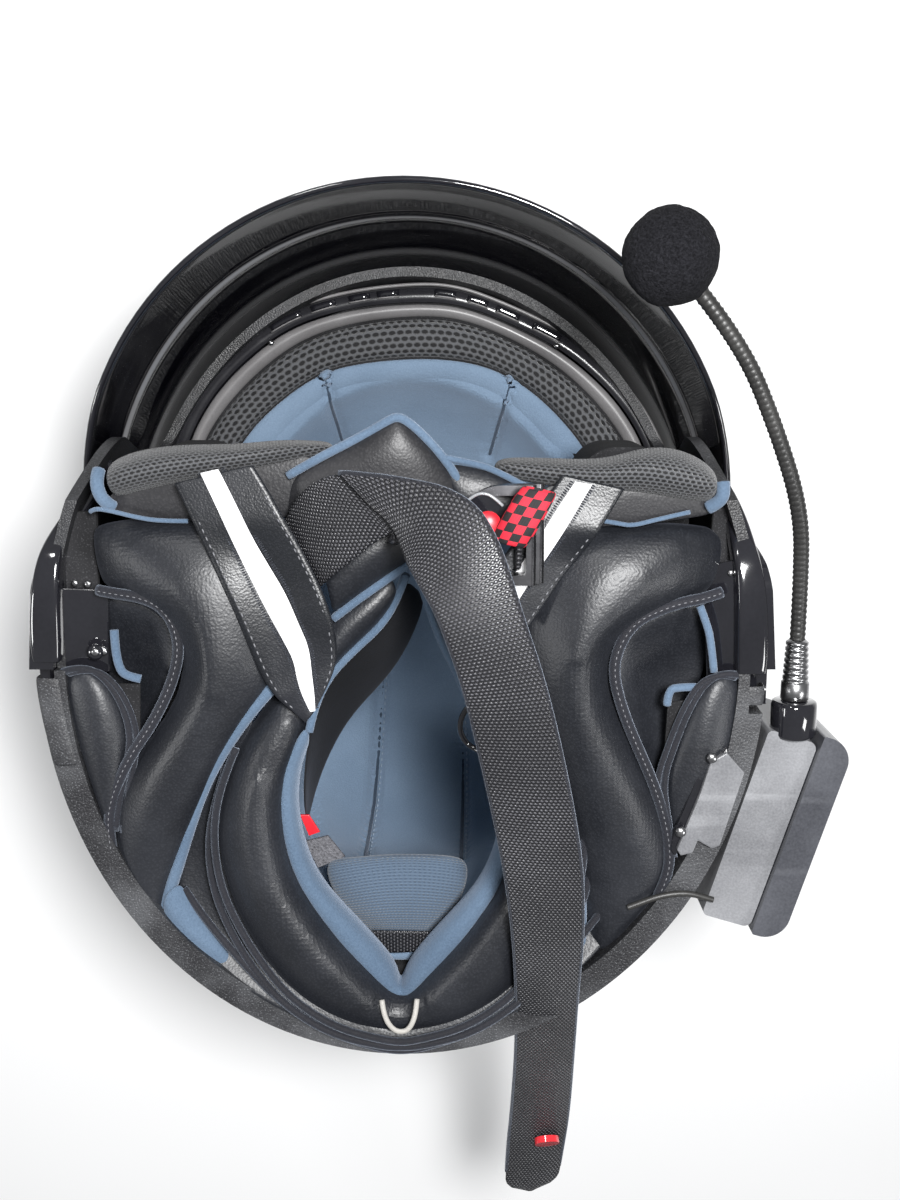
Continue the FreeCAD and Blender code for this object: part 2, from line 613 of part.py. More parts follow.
def speaker(side, sign):
    """A round speaker with a thinner cable boss, flat against the foam."""
    disc = cylinder("speaker_disc_" + side, "17", "5.5",
                    ("%d * (recess_half_width - recess_floor - fit_gap)" % sign, "-4", "speaker_z"),
                    (-sign, 0, 0))
    boss = cylinder("speaker_boss_" + side, "11", "2.5",
                    ("%d * (recess_half_width - recess_floor - fit_gap - 5.5)" % sign, "-4",
                     "speaker_z"), (-sign, 0, 0))
    node("speaker_" + side, fuse("speaker_form_" + side, disc, boss))


speaker("left", 1)
speaker("right", -1)

# Neck roll: a domed padded ring round the back with a V notch

roll_ring = common(
    "roll_ring",
    cut("roll_block", shell_dome("roll_outside", "trim_width - trim_lip + fit_gap", "roll_top_z"),
        box("roll_below", ("-" + REACH, "-" + REACH, "-" + REACH), (REACH, REACH, "foam_rear_z + fit_gap"))),
    ellipsoid("roll_crown", ("shell_half_width * 1.5", "shell_half_length * 1.5", "roll_top_z - 190"),
              ("0", "shell_centre_y", "190")))
notch = prism("roll_notch", "plan", [
    ("notch_half_width + 4", "roll_front_y"), ("notch_half_width", "roll_front_y - 30", "26"),
    ("0", "notch_tip_y", "5"), ("-notch_half_width", "roll_front_y - 30", "26"),
    ("-notch_half_width - 4", "roll_front_y"), ("-" + REACH, "roll_front_y"), ("-" + REACH, REACH),
    (REACH, REACH), (REACH, "roll_front_y")], "0", REACH)
pad_room = prism("pad_room", "plan", [
    ("pad_inner_x + 10", "0"), ("49.1", "-10"), ("64.2", "-40.4", "30"), ("75.2", "-64.4", "30"),
    ("80.2", "-87"), (REACH, "-87"), (REACH, "0")], "0", REACH)
neck_roll = node("neck_roll", cut("neck_roll_form", roll_ring, notch, pad_room,
                                  mirrored("pad_room_right", pad_room)))
nape_pad = node("nape_pad", common("nape_pad_form", cushion(
    "nape_cushion", [("-42", "-90", "7"), ("42", "-90", "7"), ("38", "-118", "7"), ("-38", "-118", "7")],
    ("0", "-99"), [("foam_rear_z - 26", "0.8"), ("foam_rear_z - 20", "1"), ("foam_rear_z - 6", "1"),
                   ("foam_rear_z - 1", "0.8")]),
    hollow_dome("nape_seat", "comfort_thickness + fit_gap", "rim_z")))

# Webbing: ribbons made from a route of straight runs and tangent arcs


def route(points):
    """A wire through points, its corners rounded as far as the runs allow."""
    vectors = [FreeCAD.Vector(*point) for point in points]
    edges = []
    last = vectors[0]
    for before, corner, after in zip(vectors, vectors[1:], vectors[2:]):
        back, ahead = before - corner, after - corner
        run = 0.45 * min(back.Length, ahead.Length)
        back.normalize()
        ahead.normalize()
        half_turn = (math.pi - back.getAngle(ahead)) / 2
        radius = run / math.tan(half_turn)
        start, end = corner + back * run, corner + ahead * run
        middle = (back + ahead).normalize()
        centre = corner + middle * (radius / math.cos(half_turn))
        edges.append(Part.LineSegment(last, start).toShape())
        edges.append(Part.Arc(start, centre - middle * radius, end).toShape())
        last = end
    edges.append(Part.LineSegment(last, vectors[-1]).toShape())
    return Part.Wire(edges)


def ribbon(name, points, across, width, thickness):
    """A flat ribbon whose route lies in a plane, swept across that plane."""
    wire = route(points)
    across = FreeCAD.Vector(*across).normalize()
    band = wire.makeOffset2D(thickness / 2, 0, False, True, True)
    inner = wire.makeOffset2D(-thickness / 2, 0, False, True, True)
    ends = [(band.OrderedVertexes[0].Point, inner.OrderedVertexes[0].Point),
            (band.OrderedVertexes[-1].Point, inner.OrderedVertexes[-1].Point)]
    if (ends[0][0] - ends[0][1]).Length > 2 * thickness:
        ends = [(band.OrderedVertexes[0].Point, inner.OrderedVertexes[-1].Point),
                (band.OrderedVertexes[-1].Point, inner.OrderedVertexes[0].Point)]
    caps = [Part.LineSegment(*pair).toShape() for pair in ends]
    edges = Part.__sortEdges__(band.Edges + inner.Edges + caps)
    face = Part.Face(Part.Wire(edges))
    face.translate(across * (-width / 2))
    feature = doc.addObject("Part::Feature", name)
    feature.Shape = face.extrude(across * width)
    return feature


strap_width = sheet.webbing_width
strap_thickness = sheet.webbing_thickness
STRAP_START = FreeCAD.Vector(29, 60, 0)
STRAP_BACK = FreeCAD.Vector(0.105, -0.9945, 0)
STRAP_ROUTE = [(0, 289), (19, 291), (70, 274), (118, 255), (165, 247), (200, 244), (232, 230), (260, 207),
               (284, 182)]
strap_points = [STRAP_START + STRAP_BACK * along + FreeCAD.Vector(0, 0, height)
                for along, height in STRAP_ROUTE]
strap_tail = ribbon("strap_tail", strap_points, (0.9945, 0.105, 0), strap_width, strap_thickness)
STRAP_ROOT = [(-76, 53, 248.8), (-44, 53, 249.6), (-20, 53, 264), (4, 53, 280), (26, 53, 285.6), (41, 53, 286)]
strap_root = ribbon("strap_root", STRAP_ROOT, (0, 1, 0), strap_width, strap_thickness)
chin_strap = node("chin_strap", compound("chin_strap_form", strap_tail, strap_root))
SHORT_ROUTE = [(82, 53, 249.0), (66, 53, 248.9), (52, 53, 248.9), (41, 53, 250.8), (38.4, 53, 256),
               (42, 53, 262), (52, 53, 263.4), (63, 53, 260)]
strap_short = node("strap_short", ribbon("strap_short_form", SHORT_ROUTE, (0, 1, 0), strap_width,
                                         strap_thickness))

# Snap on the strap's end, laid on its slope


def on_strap(name, radius, height, lift):
    """A disc on the last run of the strap, lifted off its middle plane."""
    first, last = strap_points[-2], strap_points[-1]
    along = (last - first).normalize()
    normal = FreeCAD.Vector(0.9945, 0.105, 0).cross(along) * -1
    if normal.z < 0:
        normal = normal * -1
    disc = doc.addObject("Part::Cylinder", name)
    bind(disc, "Radius", radius)
    bind(disc, "Height", height)
    disc.Placement = FreeCAD.Placement(last - along * 14 + normal * lift,
                                       FreeCAD.Rotation(FreeCAD.Vector(0, 0, 1), normal))
    return disc


snap_button = node("snap_button", on_strap("snap_button_form", "5.2", "2.6", strap_thickness / 2 + 0.02))
snap_socket = node("snap_socket", on_strap("snap_socket_form", "4.6", "1.8", -strap_thickness / 2 - 1.82))

# Double rings on the short strap


RING_ROD = 3.4
RING_LENGTH = 25.0
RING_Y = 53


def d_ring(name, x, z):
    """A flat ring with a straight bar at its outer side."""
    outer = "webbing_width / 2 + 1 + %s" % RING_ROD
    inner = "webbing_width / 2 + 1"
    body = prism(name, "plan", [
        (x, "%s - (%s)" % (RING_Y, outer), "2"), (x, "%s + %s" % (RING_Y, outer), "2"),
        (x - RING_LENGTH, "%s + %s" % (RING_Y, outer), "13"),
        (x - RING_LENGTH, "%s - (%s)" % (RING_Y, outer), "13")], z, z + RING_ROD)
    hole = prism(name + "_hole", "plan", [
        (x - RING_ROD, "%s - (%s)" % (RING_Y, inner), "1"), (x - RING_ROD, "%s + %s" % (RING_Y, inner), "1"),
        (x + RING_ROD - RING_LENGTH, "%s + %s" % (RING_Y, inner), "9.6"),
        (x + RING_ROD - RING_LENGTH, "%s - (%s)" % (RING_Y, inner), "9.6")], z - 1, z + RING_ROD + 1)
    bar_room = box(name + "_bar_room", (x - RING_ROD / 2, "-" + REACH, z - 1), (x + 1, REACH, z + RING_ROD + 1))
    bar = cylinder(name + "_bar", RING_ROD / 2, "webbing_width + 2 + 2 * %s" % RING_ROD,
                   (x - RING_ROD / 2, "%s - (%s)" % (RING_Y, outer), z + RING_ROD / 2), (0, 1, 0))
    return fuse(name + "_form", cut(name + "_arms", body, hole, bar_room), bar)


node("d_ring_lower", d_ring("ring_lower", 49, 251.6))
node("d_ring_upper", d_ring("ring_upper", 46, 255.4))

# Reflective bands on the cheek pads, each with its bright strip


def band_box(name, width, length, low, height, inset):
    """A flat bar laid at the bands' angle over the left cheek pad."""
    bar = doc.addObject("Part::Box", name)
    bind(bar, "Width", width)
    bind(bar, "Length", length)
    bind(bar, "Height", height)
    turn(bar, (0, 0, 1), -113)
    side = "(%s) / 2" % width
    place(bar, "70 + %s * sin(-113 deg) + %s * cos(-113 deg)" % (side, inset),
          "74 - %s * cos(-113 deg) + %s * sin(-113 deg)" % (side, inset), low)
    return bar


band_left = node("reflective_band_left", band_box(
    "band_left_form", "band_width", "92", "pad_top_z + fit_gap", "band_thickness", "0"))
strip_left = node("reflective_strip_left", band_box(
    "strip_left_form", "strip_width", "88", "pad_top_z + fit_gap + band_thickness", "strip_thickness", "2"))
node("reflective_band_right", mirrored("band_right_form", band_left))
node("reflective_strip_right", mirrored("strip_right_form", strip_left))

# Lapped flap under the strap, and the checkered pull tab

chin_flap = node("chin_flap", prism("chin_flap_form", "plan", [
    ("-34.6", "76", "3"), ("-2", "95", "6"), ("34.6", "75", "3"), ("32.7", "44", "4"), ("0", "36", "20"),
    ("-32.7", "44", "4")],
    "pad_top_z - 6", "pad_top_z - 2"))
TAB_ROUTE = [(24, 60, 259.7), (34, 60, 261), (44, 60, 265.6), (50, 60, 271), (44, 60, 276), (34, 60, 272),
             (24, 60, 266)]
pull_tab = node("pull_tab", ribbon("pull_tab_form", TAB_ROUTE, (0, 1, 0), 13.0, 1.4))

# Intercom on the left side, in its own frame turned to the rim

UNIT_ANGLE = -17
UNIT_TURN = FreeCAD.Rotation(FreeCAD.Vector(0, 0, 1), UNIT_ANGLE)


def unit_place(piece):
    """Set a piece modelled about the unit's frame against the helmet's rim."""
    piece.Placement.Rotation = UNIT_TURN
    place(piece, "unit_x", "unit_y", "0")
    return piece


def unit_prism(name, points, low, high):
    """A prism in the unit's frame."""
    return prism(name, "plan", points, low, high)


HALF = "unit_length / 2"
intercom_cradle = node("intercom_cradle", unit_place(unit_prism("intercom_cradle_form", [
    ("cradle_stand_off", "-" + HALF, "cradle_root_corner"), ("cradle_thickness", "-" + HALF, "cradle_corner"),
    ("cradle_thickness", HALF, "cradle_corner"), ("cradle_stand_off", HALF, "cradle_root_corner")],
    "unit_low_z", "unit_top_z")))
OUTER = "cradle_thickness + unit_thickness"
unit_block = unit_prism("unit_block", [
    ("cradle_thickness + fit_gap", "-%s - unit_over_back" % HALF, "unit_root_corner"),
    (OUTER, "-%s - unit_over_back" % HALF, "unit_corner"),
    (OUTER, HALF + " + unit_over_front", "unit_corner"),
    ("cradle_thickness + fit_gap", HALF + " + unit_over_front", "unit_root_corner")],
    "unit_low_z - unit_over_end", "unit_top_z + unit_over_end")
button_room = cylinder("button_room", "button_radius + button_room_gap", "overrun",
                       (OUTER + " - button_room_sink", "button_along", "unit_low_z + button_rise"), (1, 0, 0))
dial_room = cylinder("dial_room", "dial_radius + button_room_gap", "overrun",
                     (OUTER + " - dial_room_sink", "dial_along", "unit_low_z + dial_rise"), (1, 0, 0))
intercom_unit = node("intercom_unit", unit_place(cut("intercom_unit_form", unit_block, button_room, dial_room)))
call_button = node("call_button", unit_place(compound("call_button_form", cylinder(
    "button_cap", "button_radius", "button_height",
    (OUTER + " - button_sink", "button_along", "unit_low_z + button_rise"), (1, 0, 0)))))
control_dial = node("control_dial", unit_place(compound("control_dial_form", cylinder(
    "dial_cap", "dial_radius", "dial_height",
    (OUTER + " - dial_sink", "dial_along", "unit_low_z + dial_rise"), (1, 0, 0)))))
clamp_plate = node("clamp_plate", unit_place(compound(
    "clamp_plate_form",
    unit_prism("clamp_top", [
        ("-clamp_reach", "-clamp_half_root", "clamp_corner"), ("-clamp_reach", "clamp_half_root", "clamp_corner"),
        ("clamp_out", "clamp_half_tip", "clamp_tip_corner"), ("clamp_out", "-clamp_half_tip", "clamp_tip_corner")],
        "unit_top_z + clamp_lift", "unit_top_z + clamp_lift + clamp_thickness"))))
clamp_room = unit_place(unit_prism("clamp_room", [
    ("-clamp_reach - clamp_room_gap", "-clamp_half_root - clamp_room_gap", "clamp_corner"),
    ("-clamp_reach - clamp_room_gap", "clamp_half_root + clamp_room_gap", "clamp_corner"),
    ("clamp_out + clamp_room_gap", "clamp_half_tip + clamp_room_gap", "clamp_tip_corner"),
    ("clamp_out + clamp_room_gap", "-clamp_half_tip - clamp_room_gap", "clamp_tip_corner")],
    "unit_top_z - clamp_room_sink", "unit_top_z + overrun"))
cheek_pad_left = node("cheek_pad_left", cut("cheek_pad_left_form", cheek_pad_body, clamp_room))
screws = []
for number, along in enumerate(("-clamp_screw_along", "clamp_screw_along")):
    screws.append(cylinder("clamp_screw_%d" % number, "clamp_screw_radius", "clamp_screw_height",
                           ("-clamp_screw_in", along, "unit_top_z + clamp_lift + clamp_thickness")))
clamp_screws = node("clamp_screws", unit_place(compound("clamp_screws_form", *screws)))
boom_collar = node("boom_collar", unit_place(compound("boom_collar_form", cylinder(
    "collar_form", "collar_radius", "collar_length",
    ("collar_out", HALF + " + collar_radius + fit_gap", "unit_top_z - collar_sink")))))


def tube(name, points, radius):
    """A round tube swept along a route of runs and tangent arcs."""
    wire = route(points)
    start = wire.Edges[0]
    direction = (start.lastVertex().Point - start.firstVertex().Point).normalize()
    section = Part.Wire(Part.Circle(FreeCAD.Vector(*points[0]), direction, radius).toShape())
    feature = doc.addObject("Part::Feature", name)
    feature.Shape = wire.makePipeShell([section], True, False)
    print(name, "volume share of section times length",
          round(feature.Shape.Volume / (math.pi * radius ** 2 * wire.Length), 3))
    return feature


def from_unit(x, y, z):
    """A point of the unit's frame in the helmet's frame."""
    spot = UNIT_TURN.multVec(FreeCAD.Vector(x, y, 0))
    return FreeCAD.Vector(sheet.unit_x + spot.x, sheet.unit_y + spot.y, z)


BOOM_Z = sheet.unit_top_z - sheet.boom_sink
COLLAR = from_unit(sheet.collar_out, sheet.unit_length / 2 + sheet.collar_radius + sheet.fit_gap, BOOM_Z)
ferrule = doc.addObject("Part::Cylinder", "ferrule_form")
bind(ferrule, "Radius", "ferrule_radius")
bind(ferrule, "Height", "ferrule_length")
ferrule.Placement = FreeCAD.Placement(COLLAR + FreeCAD.Vector(0, sheet.collar_radius + sheet.ferrule_gap, 0),
                                      FreeCAD.Rotation(FreeCAD.Vector(0, 0, 1), FreeCAD.Vector(0, 1, 0)))
boom_ferrule = node("boom_ferrule", ferrule)
BOOM_START = COLLAR + FreeCAD.Vector(0, sheet.collar_radius + sheet.ferrule_length + sheet.ferrule_gap * 2, 0)
BOOM_RISE = FreeCAD.Vector(0, 20, 0.6)
BOOM_DATUM = FreeCAD.Vector(sheet.shell_half_width, sheet.shell_half_length, sheet.unit_top_z)
BOOM_STEPS = [(7.5, -91, 4.3), (-4.5, -61, 9.3), (-17.5, -35, 13.3), (-32.5, -18, 14.8)]
BOOM_ROUTE = [BOOM_START, BOOM_START + BOOM_RISE] + [BOOM_DATUM + FreeCAD.Vector(*step) for step in BOOM_STEPS]
BOOM_END = BOOM_ROUTE[-1]
gooseneck = node("gooseneck", tube("gooseneck_form", BOOM_ROUTE, sheet.neck_radius))
MIC_AXIS = FreeCAD.Vector(-15, 17, 1.5).normalize()
mic_base = BOOM_END + MIC_AXIS * sheet.seat_gap
capsule = doc.addObject("Part::Cylinder", "capsule")
bind(capsule, "Radius", "neck_radius * 1.6")
bind(capsule, "Height", "capsule_length")
capsule.Placement = FreeCAD.Placement(mic_base, FreeCAD.Rotation(FreeCAD.Vector(0, 0, 1), MIC_AXIS))
microphone = node("microphone", capsule)
ball = doc.addObject("Part::Ellipsoid", "ball")
bind(ball, "Radius1", "windscreen_radius * 1.1")
bind(ball, "Radius2", "windscreen_radius")
bind(ball, "Radius3", "windscreen_radius")
ball.Placement = FreeCAD.Placement(mic_base + MIC_AXIS * sheet.ball_rise,
                                   FreeCAD.Rotation(FreeCAD.Vector(0, 0, 1), MIC_AXIS))
bore = doc.addObject("Part::Cylinder", "ball_bore")
bind(bore, "Radius", "neck_radius * 1.6 + running_gap / 2")
bind(bore, "Height", "bore_sink + bore_rise")
bore.Placement = FreeCAD.Placement(mic_base - MIC_AXIS * sheet.bore_sink,
                                   FreeCAD.Rotation(FreeCAD.Vector(0, 0, 1), MIC_AXIS))
windscreen = node("windscreen", cut("windscreen_form", ball, bore))

CABLE_STEPS = [(2, -30, 1.4), (-8, -30, 1.6), (-17, -34, 1.6), (-27, -42, 1.6)]
CABLE_ROUTE = [from_unit(x, y, sheet.unit_top_z + z) for x, y, z in CABLE_STEPS]
speaker_cable = node("speaker_cable", tube("speaker_cable_form", CABLE_ROUTE, sheet.cable_radius))

# Slide lever for the sun visor, low on the right side of the shell

LEVER_NORMAL = (-0.968, -0.249, 0)
visor_lever = node("visor_lever", cylinder("lever_knob", "5", "4.5", ("-122.7", "-48.1", "196"),
                                           LEVER_NORMAL))

# Checks, then one file for each piece

doc.recompute()
for item in doc.Objects:
    if "Invalid" in item.State or "Error" in item.State:
        raise RuntimeError("%s did not build: %s" % (item.Name, item.getStatusString()))
for name, item in NODES.items():
    if item.Shape.isNull() or not item.Shape.isValid():
        raise RuntimeError("%s has no valid shape" % name)
for name, item in NODES.items():
    item.Shape.exportStep("parts/%s.step" % name)
    print(name, len(item.Shape.Solids), round(item.Shape.Volume))
print("pieces", len(NODES))
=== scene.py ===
"""Looks of an open-face riding helmet that lies on its crown, with liner, straps and intercom."""
import logging
import math
from dataclasses import dataclass, field
from enum import Enum
from typing import Callable, Iterable, Sequence

import bmesh
import bpy
from mathutils import Matrix, Vector, noise
from mathutils.bvhtree import BVHTree
from mathutils.kdtree import KDTree


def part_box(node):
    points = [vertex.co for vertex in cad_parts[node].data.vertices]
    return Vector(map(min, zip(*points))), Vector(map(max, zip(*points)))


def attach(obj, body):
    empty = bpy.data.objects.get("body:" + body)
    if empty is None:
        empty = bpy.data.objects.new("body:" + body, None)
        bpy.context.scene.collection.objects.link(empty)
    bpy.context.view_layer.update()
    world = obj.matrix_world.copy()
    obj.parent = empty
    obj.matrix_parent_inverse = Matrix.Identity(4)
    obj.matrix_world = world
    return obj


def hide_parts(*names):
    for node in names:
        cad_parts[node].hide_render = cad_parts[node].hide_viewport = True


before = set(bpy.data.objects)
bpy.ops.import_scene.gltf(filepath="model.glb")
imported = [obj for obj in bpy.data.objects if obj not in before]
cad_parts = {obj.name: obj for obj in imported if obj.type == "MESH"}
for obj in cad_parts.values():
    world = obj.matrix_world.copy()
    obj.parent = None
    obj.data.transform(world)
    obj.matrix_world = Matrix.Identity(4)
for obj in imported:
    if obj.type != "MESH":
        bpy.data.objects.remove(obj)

log = logging.getLogger("helmet")
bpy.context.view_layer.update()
MM = 0.001
PAD_FLOOR = 222.0
ROLL_FLOOR = 224.0
FLAP_FLOOR = 230.0
Point = tuple[float, float, float]
Colour = tuple[float, float, float]


class Side(Enum):
    """The wearer's side on which a piece sits; the value is its sign along X."""

    LEFT = 1
    RIGHT = -1


def trace(text: str) -> list[Point]:
    """Points in millimetres from text such as "1,2,3 4,5,6"."""
    return [tuple(float(number) for number in word.split(",")) for word in text.split()]


def table(text: str) -> list[list[Point]]:
    """Rows of points in millimetres, one for each line of the text."""
    return [trace(row) for row in text.strip().splitlines()]


def metres(points: Iterable[Point]) -> list[Vector]:
    """Points in millimetres as vectors in metres."""
    return [Vector(point) * MM for point in points]


# Shader maths


class Value:
    """A socket in a material, on which plain Python maths adds Math nodes."""

    def __init__(self, kit: "Shader", socket: bpy.types.NodeSocket) -> None:
        """Wrap a socket.

        Args:
            kit: The material's node kit.
            socket: The output socket.
        """
        self.kit = kit
        self.socket = socket

    def _maths(self, operation: str, *values: "Value | float") -> "Value":
        """Add one Math node and return its result."""
        return self.kit.node("ShaderNodeMath", {"operation": operation}, dict(enumerate(values)))

    def __add__(self, other: "Value | float") -> "Value":
        """Sum."""
        return self._maths("ADD", self, other)

    __radd__ = __add__

    def __sub__(self, other: "Value | float") -> "Value":
        """Difference."""
        return self._maths("SUBTRACT", self, other)

    def __rsub__(self, other: float) -> "Value":
        """Difference from a number."""
        return self._maths("SUBTRACT", other, self)

    def __mul__(self, other: "Value | float") -> "Value":
        """Product."""
        return self._maths("MULTIPLY", self, other)

    __rmul__ = __mul__

    def __truediv__(self, other: "Value | float") -> "Value":
        """Quotient."""
        return self._maths("DIVIDE", self, other)

    def __pow__(self, other: float) -> "Value":
        """Power."""
        return self._maths("POWER", self, other)

    def sin(self) -> "Value":
        """Sine."""
        return self._maths("SINE", self)

    def cos(self) -> "Value":
        """Cosine."""
        return self._maths("COSINE", self)

    def fract(self) -> "Value":
        """Fractional part."""
        return self._maths("FRACT", self)

    def floor(self) -> "Value":
        """Whole part."""
        return self._maths("FLOOR", self)

    def size(self) -> "Value":
        """Absolute value."""
        return self._maths("ABSOLUTE", self)

    def above(self, limit: float) -> "Value":
        """One where this is over the limit."""
        return self._maths("GREATER_THAN", self, limit)

    def ramp(self, low: float, high: float) -> "Value":
        """A smooth step from low to high, held to 0..1."""
        return self.kit.node("ShaderNodeMapRange", {"interpolation_type": "SMOOTHSTEP"},
                             {"Value": self, "From Min": low, "From Max": high})


class Shader:
    """Builds one material's nodes."""

    def __init__(self, name: str) -> None:
        """Start a material with one Principled BSDF.

        Args:
            name: The material's name.
        """
        self.material = bpy.data.materials.new(name)
        self.material.use_nodes = True
        self.tree = self.material.node_tree
        self.body = self.tree.nodes["Principled BSDF"]
        self._objects: bpy.types.Node | None = None

    def node(self, kind: str, settings: dict | None = None, inputs: dict | None = None,
             output: str | int = 0) -> Value:
        """Add any node.

        Args:
            kind: The node's type name.
            settings: Properties that are set first.
            inputs: Values or links by socket name or number.
            output: The output to return.

        Returns:
            The chosen output, wrapped.
        """
        made = self.tree.nodes.new(kind)
        for name, value in (settings or {}).items():
            if name == "stops":
                ramp = made.color_ramp
                while len(ramp.elements) < len(value):
                    ramp.elements.new(0.5)
                for element, (place, colour) in zip(ramp.elements, value):
                    element.position = place
                    element.color = (*colour, 1.0)
            else:
                setattr(made, name, value)
        for name, value in (inputs or {}).items():
            self.link(made.inputs[name], value)
        return Value(self, made.outputs[output])

    def link(self, socket: bpy.types.NodeSocket, value: "Value | float | Sequence[float]") -> None:
        """Give a socket a link or a value."""
        if isinstance(value, Value):
            self.tree.links.new(value.socket, socket)
        elif socket.type == "RGBA" and len(value) == 3:
            socket.default_value = (*value, 1.0)
        else:
            socket.default_value = value

    def give(self, **values: "Value | float | Sequence[float]") -> None:
        """Set Principled sockets by name, with _ for a space."""
        for name, value in values.items():
            self.link(self.body.inputs[name.replace("_", " ")], value)

    def place(self) -> Value:
        """Object coordinates, in metres."""
        return self.node("ShaderNodeTexCoord", output="Object")

    def along(self) -> tuple[Value, Value]:
        """The piece's own UV map, in metres along and across."""
        uv = self.node("ShaderNodeUVMap", {"uv_map": "Cloth"})
        split = self.node("ShaderNodeSeparateXYZ", inputs={0: uv})
        return split, Value(self, split.socket.node.outputs[1])

    def noise(self, scale: float, detail: float = 2.0, where: "Value | None" = None,
              roughness: float = 0.5) -> Value:
        """Noise of that scale per metre."""
        return self.node("ShaderNodeTexNoise", {},
                         {"Vector": where or self.place(), "Scale": scale, "Detail": detail,
                          "Roughness": roughness})

    def cells(self, scale: float, feature: str = "F1", where: "Value | None" = None,
              randomness: float = 1.0) -> Value:
        """Voronoi distance of that scale per metre."""
        return self.node("ShaderNodeTexVoronoi", {"feature": feature},
                         {"Vector": where or self.place(), "Scale": scale, "Randomness": randomness})

    def mix(self, share: "Value | float", first: Colour, second: "Colour | Value") -> Value:
        """A colour between two."""
        return self.node("ShaderNodeMix", {"data_type": "RGBA"},
                         {0: share, 6: first, 7: second}, output=2)

    def bump(self, *layers: tuple["Value", float]) -> Value:
        """Bump nodes in a chain.

        Args:
            layers: Height fields with their depth in millimetres.

        Returns:
            The normal.
        """
        normal = None
        for height, depth in layers:
            inputs = {"Height": height, "Distance": depth * MM, "Strength": 1.0}
            if normal is not None:
                inputs["Normal"] = normal
            normal = self.node("ShaderNodeBump", {}, inputs)
        return normal


@dataclass(frozen=True)
class Finish:
    """A finish: its name, two colours that it varies between, and its roughness."""

    name: str
    low: Colour
    high: Colour
    rough: float = 0.5

    def make(self) -> bpy.types.Material:
        """Build the material."""
        kit = Shader(self.name)
        self.paint(kit)
        return kit.material

    def paint(self, kit: Shader) -> None:
        """Wire the nodes; each kind of finish does it its own way."""
        raise NotImplementedError


@dataclass(frozen=True)
class Leatherette(Finish):
    """Soft coated fabric with a fine pebbled grain, small creases and a dull sheen."""

    grain: float = 0.85

    def paint(self, kit: Shader) -> None:
        """Pebbles, pores and creases."""
        pebbles = kit.cells(1000.0 / self.grain, "SMOOTH_F1")
        pores = kit.noise(2600.0, 3.0)
        stretched = kit.node("ShaderNodeMapping", {}, {"Vector": kit.place(), "Scale": (1.0, 2.6, 1.4),
                                                       "Rotation": (0.3, 0.2, 0.7)})
        creases = kit.noise(46.0, 4.0, stretched, 0.62)
        wear = kit.noise(30.0, 5.0)
        share = wear.ramp(0.35, 0.75) * 0.55 + (1 - pebbles.ramp(0.0, 0.55)) * 0.45
        kit.give(Base_Color=kit.mix(share, self.low, self.high),
                 Roughness=self.rough + wear * 0.10 - pores * 0.06,
                 Normal=kit.bump((creases, 0.14), (1 - pebbles, 0.08), (pores, 0.03)),
                 Sheen_Weight=0.04, Sheen_Roughness=0.4, Sheen_Tint=(0.62, 0.68, 0.85),
                 Specular_IOR_Level=0.5)


@dataclass(frozen=True)
class Knit(Finish):
    """A brushed lining fabric with fine loops."""

    loop: float = 0.7

    def paint(self, kit: Shader) -> None:
        """Loops, fuzz and slow shading."""
        loops = kit.cells(1000.0 / self.loop, "F1")
        fuzz = kit.noise(1500.0, 4.0, roughness=0.7)
        slow = kit.noise(22.0, 3.0)
        share = fuzz * 0.55 + slow.ramp(0.3, 0.7) * 0.3 + loops * 0.25
        kit.give(Base_Color=kit.mix(share, self.low, self.high), Roughness=self.rough,
                 Normal=kit.bump((slow, 1.2), (fuzz, 0.22), (1 - loops, 0.12)),
                 Sheen_Weight=0.35, Sheen_Roughness=0.5, Sheen_Tint=(0.75, 0.84, 1.0),
                 Specular_IOR_Level=0.2)


@dataclass(frozen=True)
class Ribbed(Finish):
    """Terry lining with rows of small loops along the piece's own cloth map."""

    pitch: float = 1.7

    def paint(self, kit: Shader) -> None:
        """Rows of loops."""
        along, across = kit.along()
        turn = 2000.0 * math.pi / self.pitch
        wander = (across * turn * 0.5).sin() * 0.8
        rows = (across * turn).sin() * ((along * turn * 0.8 + wander).cos() * 0.35 + 0.65)
        fuzz = kit.noise(1300.0, 4.0)
        height = rows * 0.5 + 0.5
        kit.give(Base_Color=kit.mix(height * 0.7 + fuzz * 0.3, self.low, self.high), Roughness=self.rough,
                 Normal=kit.bump((height, 0.35), (fuzz, 0.15)), Sheen_Weight=0.3, Specular_IOR_Level=0.2)


@dataclass(frozen=True)
class Mesh(Finish):
    """Three-dimensional mesh fabric: round holes in staggered rows."""

    pitch: float = 2.3

    def paint(self, kit: Shader) -> None:
        """Holes and threads on the cloth map."""
        along, across = kit.along()
        row = (across * (1000.0 / self.pitch / 0.8))
        offset = row.floor() * 0.5
        u = ((along * (1000.0 / self.pitch) + offset).fract() - 0.5)
        v = row.fract() - 0.5
        round_ = (u * u * 1.0 + v * v * 1.35) ** 0.5
        thread = round_.ramp(0.27, 0.50)
        fuzz = kit.noise(1700.0, 3.0)
        kit.give(Base_Color=kit.mix(thread * (0.75 + fuzz * 0.3), self.low, self.high), Roughness=self.rough,
                 Normal=kit.bump((thread, 0.8), (fuzz, 0.12)), Sheen_Weight=0.2, Specular_IOR_Level=0.3)


